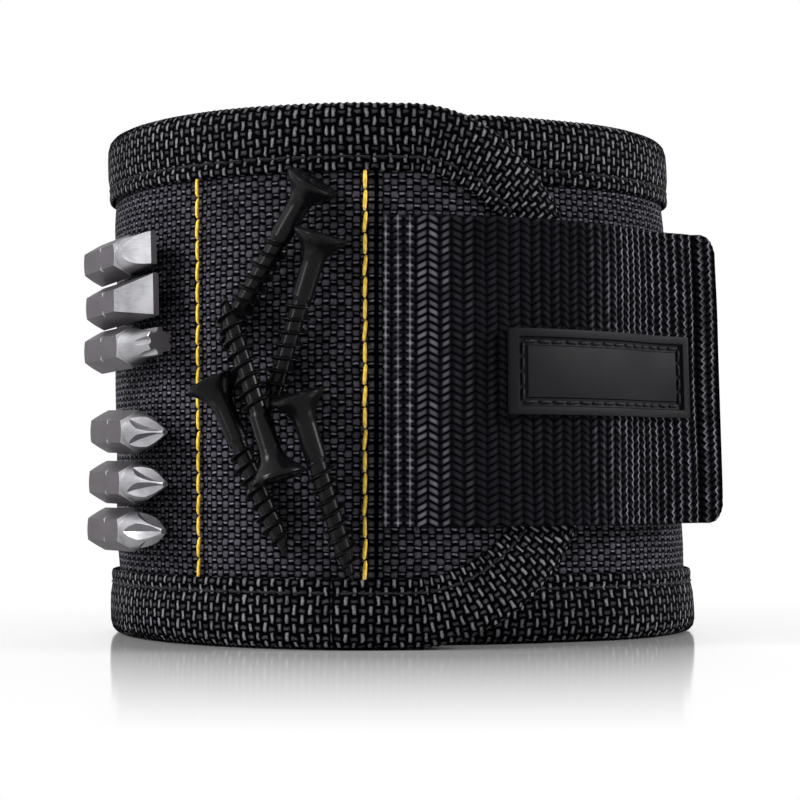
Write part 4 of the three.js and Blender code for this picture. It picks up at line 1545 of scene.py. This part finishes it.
@dataclass
class Strap:
    """The closing strap: ribbed webbing, hook tape and the rubber label."""

    layout: Layout
    thickness: float = 1.5
    relief_depth: float = 0.42
    hook_height: float = 46
    hook_lead: float = 3
    hook_trail: float = 2.5
    label_start: float = 19.8
    label_length: float = 40.6
    label_height: float = 13.9
    label_base: float = 0.8
    label_margin: float = 1.5
    rim: float = 1.3
    rim_rise: float = 0.7
    groove: float = 1.5
    groove_wall: float = 0.12
    plate_rise: float = 0.35
    clearance: float = 0.1
    stitch_length: float = 2.7
    stitch_radius: float = 0.24
    stitch_lift: float = 0.12

    def __post_init__(self) -> None:
        """Cuts the strap's blank."""
        self.course = self.layout.courses["strap"]
        self.middle = self.layout.strap_middle
        self.cut = self.blank(0, self.course.length, self.layout.strap_height)

    def blank(self, start: float, end: float, height: float) -> Cut:
        """A cut along the strap's course, with the strap's corners."""
        corner = self.layout.strap_corner
        return Cut(self.course, start, end, height / 2, self.middle, corner, corner)

    def relief(self, arc: np.ndarray, rise: np.ndarray) -> np.ndarray:
        """The ribs, lower under the label and thicker at the folded end.

        Args:
            arc: the way along the strap.
            rise: the way up from its middle.

        Returns:
            How far it stands out, in millimetres.
        """
        margin = self.label_margin
        under = (smooth((arc - self.label_start + margin) / margin)
                 * smooth((self.label_start + self.label_length + margin - arc) / margin)
                 * smooth((self.label_height / 2 + margin - np.abs(rise)) / margin))
        ribs = (Herringbone().relief(arc, rise) - 1) * self.relief_depth * (1 - 0.6 * under)
        end = self.cut.end
        fold = 0.35 * smooth((arc - end + 4) / 1.5) - 0.5 * np.exp(-((arc - end + 4.6) / 0.7) ** 2)
        return ribs + fold + 0.12 * np.sin(rise * 0.23 + arc * 0.08)

    def webbing(self) -> None:
        """The webbing, with its ribs, its woven edges and the fold at its end."""
        cut = self.cut
        piece = strip("strap_weave", cut, self.thickness, 0, along=0.235, across=217, relief=self.relief)
        dress(piece, Herringbone(), "strap", "strap_webbing")
        cut.end * MM
        cut.area()

    def hooks(self) -> None:
        """The hook tape under the strap's end."""
        l = self.layout
        start, end = self.course.arc_at(7) + self.hook_lead, self.course.length - self.hook_trail
        cut = self.blank(start, end, self.hook_height)
        tape = strip("hook_mat", cut, -l.gap, -l.gap - l.hook, along=1.0, across=31)
        dress(tape, Pile(grain=2.6), "strap", "hook_tape")
        cut.area()

    def label(self) -> None:
        """The bare moulded label: modelled flat, then laid on the strap's course."""
        top, wall = self.label_base + self.rim_rise, self.groove_wall
        piece = box((self.label_length, self.label_height, top), (self.label_length / 2, 0, top / 2))
        edit_faces(piece, lambda normal: normal.z > 0.9)
        for inset, depth in ((self.rim, 0), (wall, -self.rim_rise), (self.groove - 2 * wall, 0),
                             (wall, self.plate_rise)):
            bpy.ops.mesh.inset(thickness=inset, depth=depth)
        for cut in np.arange(1, self.label_length, 1.0):
            bpy.ops.mesh.select_all(action="SELECT")
            bpy.ops.mesh.bisect(plane_co=(float(cut), 0, 0), plane_no=(1, 0, 0))
        bpy.ops.object.mode_set(mode="OBJECT")
        apply_modifier(piece, "BEVEL", width=0.16, segments=3, limit_method="ANGLE",
                       angle_limit=math.radians(30))
        foot = self.thickness + self.clearance
        x, y, z = np.array([v.co for v in piece.data.vertices]).T
        laid = self.course.place(self.label_start + x, foot + z, self.middle + y)
        piece.data.vertices.foreach_set("co", laid.astype(np.float32).ravel())
        piece.data.update()
        dress(smoothed(piece, "label_plate", 35), Rubber(), "strap", "label")
        self.label_seam(foot + self.label_base)

    def label_seam(self, foot: float) -> None:
        """The stitches in the label's groove.

        Args:
            foot: the groove's floor, out from the course.
        """
        inset = self.rim + self.groove / 2
        long, tall = self.label_length - 2 * inset, self.label_height - 2 * inset
        sides = [((inset, tall / 2), (1, 0), long), ((inset + long, tall / 2), (0, -1), tall),
                 ((inset + long, -tall / 2), (-1, 0), long), ((inset, -tall / 2), (0, 1), tall)]
        lift, ends = self.stitch_lift, []
        for (x, y), (dx, dy), length in sides:
            count = round(length / self.stitch_length)
            for i in range(count):
                low, high = (i + 0.06) * length / count, (i + 0.94) * length / count
                ends.append(stitch(*(
                    self.course.place(self.label_start + x + dx * t, foot + out, self.middle + y + dy * t)
                    for t, out in ((low, lift), (high, lift), ((low + high) / 2, lift + 1)))))
        dress(stitches("label_stitches", ends, self.stitch_radius), BLACK_THREAD, "strap", "label_thread")

    def build(self) -> None:
        """Builds the strap."""
        self.webbing()
        self.hooks()
        self.label()


@dataclass
class Screws:
    """Five black wood screws, heaped on the first pocket."""

    layout: Layout
    length: float = 31
    head_radius: float = 4.4
    head_depth: float = 3.6
    shank_radius: float = 1.75
    shank_length: float = 7.5
    core_radius: float = 1.4
    thread_radius: float = 2.4
    pitch: float = 2.15
    point: float = 4.6
    rest: float = 0.35
    sides: int = 40
    sunk: float = 0.15
    recess: Axes = (4.6, 0.95, 3.6)
    recess_taper: float = 0.45

    def shaft(self) -> bpy.types.Object:
        """The core, the shank and the bugle head, drawn out of one circle, with a cross recess.

        Returns:
            The piece, in millimetres, with its point at the origin and its head up.
        """
        core, shank, head, top = self.core_radius, self.shank_radius, self.head_radius, self.length
        neck = top - self.head_depth
        thread_top = neck - self.shank_length
        steps = [(0.12, 0), (core * 0.55, self.point * 0.45), (core, self.point), (core, self.point + 0.3),
                 (core, thread_top - 0.3), (core, thread_top), (shank, thread_top + 0.5),
                 (shank, thread_top + 0.75), (shank, neck - 1.4), (shank, neck - 1.15),
                 (shank + 0.25, neck), (shank + 0.75, neck + 0.9), (head - 1.05, neck + 1.9),
                 (head - 0.25, top - 0.85), (head, top - 0.45), (head, top - 0.12), (head - 0.15, top),
                 (2.9, top), (2.7, top - 0.08)]
        piece = turned(steps, self.sides)
        for turn in (0, math.pi / 2):
            cutter = box(self.recess, (0, 0, top), turn)
            edit_faces(cutter, lambda normal: normal.z < -0.9)
            bpy.ops.transform.resize(value=(self.recess_taper, self.recess_taper, 1))
            bpy.ops.object.mode_set(mode="OBJECT")
            carve(piece, cutter)
        return piece

    def blade(self) -> bpy.types.Object:
        """The helical thread, drawn round by a Screw modifier and tapered to the point.

        Returns:
            The piece, where it stands on the shaft.
        """
        top = self.length - self.head_depth - self.shank_length
        turns = int(top / self.pitch)
        low = top - turns * self.pitch
        foot, crest = self.core_radius - self.sunk, self.thread_radius
        mesh = bpy.data.meshes.new("blade")
        mesh.from_pydata([(foot, 0, low - 0.5), (crest, 0, low - 0.02), (crest, 0, low + 0.1),
                          (foot, 0, low + 0.42)], [], [(0, 1, 2, 3)])
        piece = linked("blade", mesh)
        apply_modifier(piece, "SCREW", angle=FULL_TURN, screw_offset=self.pitch, iterations=turns, steps=24,
                       render_steps=24, axis="Z", use_merge_vertices=True, merge_threshold=0.001)
        for vertex in piece.data.vertices:
            x, y, z = vertex.co
            radius = math.hypot(x, y)
            share = min(max(z / self.point, 0.03), 1)
            fade = min(max((top + 0.4 - z) / 1.6, 0), 1)
            core = self.core_radius * min(1, 0.1 + share)
            above = max(radius - foot, 0) * (0.35 + 0.65 * share) * fade
            now = core - self.sunk + above
            vertex.co = (x * now / radius, y * now / radius, max(z, 0.05))
        face_out(piece)
        return piece

    def build(self) -> None:
        """Models one screw and lays its copies as they fell."""
        master = joined("screw_master", [self.shaft(), self.blade()])
        apply_modifier(master, "BEVEL", width=0.05, segments=2, limit_method="ANGLE",
                       angle_limit=math.radians(55))
        l, ring = self.layout, self.layout.courses["ring"]
        middle = l.bays[0] + (l.bays[1] - l.bays[0]) / 2
        head, thread = self.head_radius + self.rest, self.thread_radius + self.rest
        stacked, bridge = head + self.thread_radius + self.rest, thread + 2 * self.thread_radius
        # The head's end, along by head radii and up by lengths, and its way out, then the same of the point
        spots = [((-1.78, 0.99), head, (1.95, 0.16), thread), ((-2.06, 0.715), head, (0.05, -0.23), thread),
                 ((-0.83, -0.54), stacked, (1.12, 0.41), bridge), ((1.9, -0.03), head, (-0.7, -0.93), thread),
                 ((-1.4, -0.11), stacked, (-3.05, -1.06), thread)]
        for n, (high, high_off, low, low_off) in enumerate(spots):
            a, b = (Vector(ring.place(middle + along * self.head_radius, off, l.middle + up * self.length))
                    for (along, up), off in ((high, high_off), (low, low_off)))
            way = (a - b).normalized()
            mesh, name = master.data.copy(), f"screw_{n + 1}"
            spin = Matrix.Rotation(1.1 * n, 4, "Z")
            turn = Vector((0, 0, 1)).rotation_difference(way).to_matrix().to_4x4()
            mesh.transform(Matrix.Translation(a - way * self.length * MM) @ turn @ spin @ Matrix.Scale(MM, 4))
            piece = smoothed(linked(f"wood_{name}", mesh), f"wood_{name}", 38)
            dress(piece, BLACK_STEEL, name, name)
        bpy.data.objects.remove(master)


class Tip(Enum):
    """The kinds of insert bit in the row."""

    ROUND_CHEEK = "round_cheek"
    FLAT_CHEEK = "flat_cheek"
    LOBED = "lobed"
    CROSS = "cross"


@dataclass(frozen=True)
class BitPlace:
    """One bit of the row and how it lies; lengths in millimetres, angles in degrees."""

    tip: Tip
    share: float
    tilt: float
    slide: float
    length: float = 25
    spin: float = 0


@dataclass
class Bits:
    """Six insert bits in a row on the second pocket, each cut from hexagonal bar as its maker does."""

    layout: Layout
    flats: float = 6.35
    length: float = 25
    chamfer: float = 0.7
    shank: float = 13.0
    notch: float = 7.6
    notch_radius: float = 3.4
    neck: float = 3.08
    rest: float = 0.35
    sides: int = 48
    edge: float = 0.5
    cheek_length: float = 6.9
    shoulder: float = 0.6
    groove_radius: float = 0.8
    groove_out: float = 2.42
    groove_slant: float = 7.5
    flute_wheel: float = 20
    flute_core: float = 0.4
    flute_depth: float = 4
    flute_half: float = 7.4
    row: tuple[BitPlace, ...] = (
        BitPlace(Tip.ROUND_CHEEK, 0.737, 3.6, 0.5, 22.6), BitPlace(Tip.FLAT_CHEEK, 0.649, 3.1, 1.3, 22.6),
        BitPlace(Tip.LOBED, 0.562, 2.0, 0.4, 25), BitPlace(Tip.CROSS, 0.4, -1.2, 3.0, 24.2),
        BitPlace(Tip.CROSS, 0.302, -0.8, 2.2, 25, -15), BitPlace(Tip.CROSS, 0.212, 0.0, 1.4, 25, -42))

    @property
    def corner(self) -> float:
        """The hexagon's corners, out from the axis."""
        return self.flats / math.sqrt(3)

    @property
    def full(self) -> float:
        """Just past the hexagon's corners, where turning leaves the bar as it is."""
        return self.corner + 0.02

    def blank(self, profile: Sequence[tuple[float, float]], length: float) -> bpy.types.Object:
        """A hexagonal bar, flats up and down, turned to a profile.

        Args:
            profile: its radius at each height, from the end of the full hexagon up.
            length: its length.

        Returns:
            The piece, in millimetres, with its rear end at the origin and its tip up.
        """
        full, notch = self.full, self.notch
        deselect()
        bpy.ops.mesh.primitive_cylinder_add(vertices=6, radius=self.corner, depth=length,
                                            location=(0, 0, length / 2), rotation=(0, 0, math.pi / 2))
        piece = bpy.context.object
        bpy.ops.object.transform_apply(location=True, rotation=True, scale=True)
        rear = [(self.corner - self.chamfer, -0.02), (full, self.chamfer * 0.7), (full, notch - 0.35),
                (self.notch_radius, notch - 0.1), (self.notch_radius, notch + 0.1), (full, notch + 0.35)]
        carve(piece, turned([*rear, *profile], self.sides), "INTERSECT")
        return piece

    def cheeks(self, piece: bpy.types.Object, foot: tuple[float, float], length: float) -> bpy.types.Object:
        """Grinds two flat cheeks that rise to a thin edge.

        Args:
            piece: the turned bar.
            foot: where a cheek starts, out from the axis and up from the rear end.
            length: the bit's length.

        Returns:
            The piece.
        """
        out, start = foot
        slope = math.atan((out - self.edge) / (length - start))
        for side in (0, math.pi):
            block = box((11, 20, 24), (0, 10, 8))
            block.data.transform(Matrix.Rotation(side, 4, "Z") @ Matrix.Translation((0, out, start))
                                 @ Matrix.Rotation(slope, 4, "X"))
            carve(piece, block)
        return piece

    def round_cheek(self, bit: BitPlace) -> bpy.types.Object:
        """A turned neck whose cheeks start in a round line.

        Args:
            bit: the bit's sizes.

        Returns:
            The piece.
        """
        length = bit.length
        steps = [(self.full, self.shank), (self.neck, self.shank + 0.5), (2.75, length + 0.02)]
        return self.cheeks(self.blank(steps, length), (self.neck, length - self.cheek_length), length)

    def flat_cheek(self, bit: BitPlace) -> bpy.types.Object:
        """Cheeks that start at a straight shoulder on the hexagon's flats.

        Args:
            bit: the bit's sizes.

        Returns:
            The piece.
        """
        length = bit.length
        steps = [(self.full, length - 0.5), (3.5, length + 0.02)]
        return self.cheeks(self.blank(steps, length), (self.flats / 2, self.shank - self.shoulder), length)

    def lobed(self, bit: BitPlace) -> bpy.types.Object:
        """A cone neck and six lobes with a flat end.

        Args:
            bit: the bit's sizes.

        Returns:
            The piece.
        """
        length = bit.length
        piece = self.blank([(self.full, self.shank + 1), (self.neck, self.shank + 1.5), (2.4, length - 7.5),
                            (2.3, length - 0.2), (2.2, length)], length)
        for i in range(6):
            groove = turned([(self.groove_radius, -9), (self.groove_radius, 2)], 20)
            groove.data.transform(Matrix.Rotation(math.radians(60 * i + 30), 4, "Z")
                                  @ Matrix.Translation((self.groove_out, 0, length))
                                  @ Matrix.Rotation(math.radians(-self.groove_slant), 4, "Y"))
            carve(piece, groove)
        return piece

    def cross(self, bit: BitPlace) -> bpy.types.Object:
        """A turned point with four ground flutes, which leave four wings.

        Args:
            bit: the bit's sizes.

        Returns:
            The piece.
        """
        length = bit.length
        piece = self.blank([(self.full, self.shank), (self.neck, self.shank + 0.5), (2.95, length - 9.5),
                            (2.5, length - 6), (0.5, length)], length)
        rim, half = self.flute_wheel - self.flute_depth, self.flute_half
        for i in range(4):
            wheel = turned([(rim, -half), (self.flute_wheel, 0), (rim, half)], 160)
            wheel.data.transform(Matrix.Rotation(math.pi / 2, 4, "X"))
            wheel.data.transform(Matrix.Rotation(math.radians(90 * i + 45 + bit.spin), 4, "Z")
                                 @ Matrix.Translation((self.flute_core + self.flute_wheel, 0, length)))
            carve(piece, wheel)
        return piece

    def mark_ground(self, piece: bpy.types.Object, length: float) -> None:
        """Marks which faces are ground: all but the hexagon's flats and both ends. One wall of each cut groove
        gets a low share, which is painted shade.

        Args:
            piece: the finished bit, still upright.
            length: its length.
        """
        mesh = piece.data
        share = mesh.attributes.new("ground", "FLOAT", "FACE")
        values = []
        for face in mesh.polygons:
            (x, y, z), normal = face.center, face.normal
            out, reach = x * normal.x + y * normal.y, max(math.hypot(x, y), 0.01)
            rolled = abs(normal.z) < 0.02 and abs(out - self.flats / 2) < 0.03
            ends = abs(normal.z) > 0.98 and (z < 0.1 or z > length - 0.1)
            twist = (x * normal.y - y * normal.x) / reach
            cut = z > self.shank and out / reach < 0.9 and abs(twist) > 0.3
            # A low share on the groove walls that face one way round: painted shade
            values.append(0.0 if rolled or ends else (0.25 if twist > 0 else 1.0) if cut else 0.85)
        share.data.foreach_set("value", values)

    def build(self) -> None:
        """Models each bit and lays it on the cloth with its tip to the front."""
        l, ring = self.layout, self.layout.courses["ring"]
        middle = l.bays[1] + (l.bays[2] - l.bays[1]) / 6
        centre, outer, ahead = (Vector(ring.place(arc, off, l.middle) / MM) for arc, off in (
            (middle, 0), (middle, 1), (middle - 0.5, 0)))
        outward = (outer - centre).normalized()
        forward = ahead - centre
        forward = (forward - outward * forward.dot(outward)).normalized()
        makers = {Tip.ROUND_CHEEK: self.round_cheek, Tip.FLAT_CHEEK: self.flat_cheek, Tip.LOBED: self.lobed,
                  Tip.CROSS: self.cross}
        for n, spot in enumerate(self.row, 1):
            piece = makers[spot.tip](spot)
            self.mark_ground(piece, spot.length)
            axis = Matrix.Rotation(math.radians(spot.tilt), 3, outward) @ forward
            side = outward.cross(axis).normalized()
            basis = Matrix((side, outward, axis)).transposed().to_4x4()
            on_cloth = Vector(ring.place(middle, self.flats / 2 + self.rest, l.height * spot.share)) / MM
            base = on_cloth - axis * (self.length / 2 - spot.slide)
            piece.data.transform(Matrix.Scale(MM, 4) @ Matrix.Translation(base) @ basis)
            smoothed(piece, f"insert_bit_{n}", 24)
            dress(piece, GroundSteel(), f"bit_{n}", f"bit_{n}")


@dataclass
class Magnets:
    """The discs in their pockets, which the cloth hides."""

    columns: int = 5
    rows: int = 3

    def build(self) -> None:
        """Gives each packed magnet its nickel."""
        nickel = NICKEL.material()
        for column in range(1, self.columns + 1):
            for row in range(1, self.rows + 1):
                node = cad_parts[f"magnet_{column}_{row}"]
                node.data.materials.clear()
                node.data.materials.append(nickel)
        log.info("magnets: %d", self.columns * self.rows)


@dataclass(frozen=True)
class Lamp:
    """A soft lamp that looks at the object: where it stands, how wide and tall it is, and its watts."""

    name: str
    place: Axes
    size: tuple[float, float]
    power: float

    def build(self, aim: Axes) -> None:
        """Sets the lamp up.

        Args:
            aim: the place that it looks at.
        """
        data = bpy.data.lights.new(self.name, "AREA")
        data.shape, data.energy = "RECTANGLE", self.power
        data.size, data.size_y = self.size
        lamp = bpy.data.objects.new(self.name, data)
        lamp.location = self.place
        lamp.rotation_euler = (Vector(aim) - Vector(self.place)).to_track_quat("-Z", "Y").to_euler()
        bpy.context.scene.collection.objects.link(lamp)


@dataclass
class Studio:
    """The floor, the lamps, the white room and the camera, in metres and degrees."""

    camera_place: Axes = (0.0002157, -0.414303, 0.0274)
    camera_pitch: float = 1.94
    lens: float = 103.5
    floor_size: float = 12
    floor_drop: float = 0.0002
    floor_colour: Colour = (0.72, 0.72, 0.72)
    floor_start: float = 0.058
    floor_rise: float = 9.5
    room: float = 0.35
    aim: Axes = (0, 0, 0.045)
    lamps: tuple[Lamp, ...] = (
        Lamp("key_lamp", (-0.75, -0.28, 0.54), (0.25, 0.25), 6.6),
        Lamp("strip_lamp", (-0.56, -0.42, 0.15), (0.09, 0.28), 1.6),
        Lamp("fill_lamp", (0.85, -0.12, 0.38), (0.3, 0.3), 8.0),
        Lamp("back_lamp", (0.1, 0.8, 0.7), (0.5, 0.5), 5.0))

    def floor(self) -> None:
        """A polished white floor, which keeps the object's shadow and reflection near it."""
        deselect()
        bpy.ops.mesh.primitive_plane_add(size=self.floor_size, location=(0, 0, -self.floor_drop))
        floor = bpy.context.object
        floor.name = "studio_floor"
        s = Shader("studio_floor", Roughness=0.1, Base_Color=self.floor_colour, IOR=2.0)
        glow = s.add("ShaderNodeEmission", inputs={"Color": WHITE, "Strength": 1.0})
        distance = s.add("ShaderNodeVectorMath", {"operation": "LENGTH"}, {0: s.place()})
        reach = Val(s, distance.outputs["Value"])
        share = ((reach - self.floor_start) * self.floor_rise).clamp() * s.seen()
        mixed = s.add("ShaderNodeMixShader", inputs={0: share, 1: s.bsdf.outputs[0], 2: glow.outputs[0]})
        s.feed(s.output.inputs["Surface"], mixed.outputs[0])
        floor.data.materials.append(s.material)

    def world(self) -> None:
        """A white room that lights the object softly."""
        world = bpy.data.worlds.new("studio_room")
        bpy.context.scene.world = world
        nodes = Nodes(world)
        soft, white = (nodes.add("ShaderNodeBackground", inputs={0: WHITE, 1: strength}).outputs[0]
                       for strength in (self.room, 1.0))
        mixed = nodes.add("ShaderNodeMixShader", inputs={0: nodes.seen(), 1: soft, 2: white})
        nodes.add("ShaderNodeOutputWorld", inputs={0: mixed.outputs[0]})

    def camera(self) -> None:
        """The camera, as the fit to the photograph's outline gave it."""
        data = bpy.data.cameras.new("photo_camera")
        data.lens, data.sensor_width, data.clip_start = self.lens, 36, 0.01
        camera = bpy.data.objects.new("photo_camera", data)
        camera.location = self.camera_place
        camera.rotation_euler = (math.radians(90 + self.camera_pitch), 0, 0)
        bpy.context.scene.collection.objects.link(camera)
        bpy.context.scene.camera = camera

    def build(self) -> None:
        """Sets up the whole studio."""
        self.floor()
        self.world()
        for lamp in self.lamps:
            lamp.build(self.aim)
        self.camera()
        bpy.context.scene.view_settings.view_transform = "Standard"


def corners(box: Any) -> list[list[float]]:
    """A box as plain lists."""
    return [[float(v) for v in corner] for corner in box]


def main() -> None:
    """Builds the wristband and the studio."""
    logging.basicConfig(level=logging.INFO, format="%(message)s")
    layout = Layout()
    built_on_layout = [kind(layout) for kind in (Band, Flap, Strap, Screws, Bits)]
    for assembly in (*built_on_layout, Magnets(), Studio()):
        assembly.build()
        log.info("built %s", type(assembly).__name__)
    bpy.context.view_layer.update()


if __name__ == "__main__":
    main()
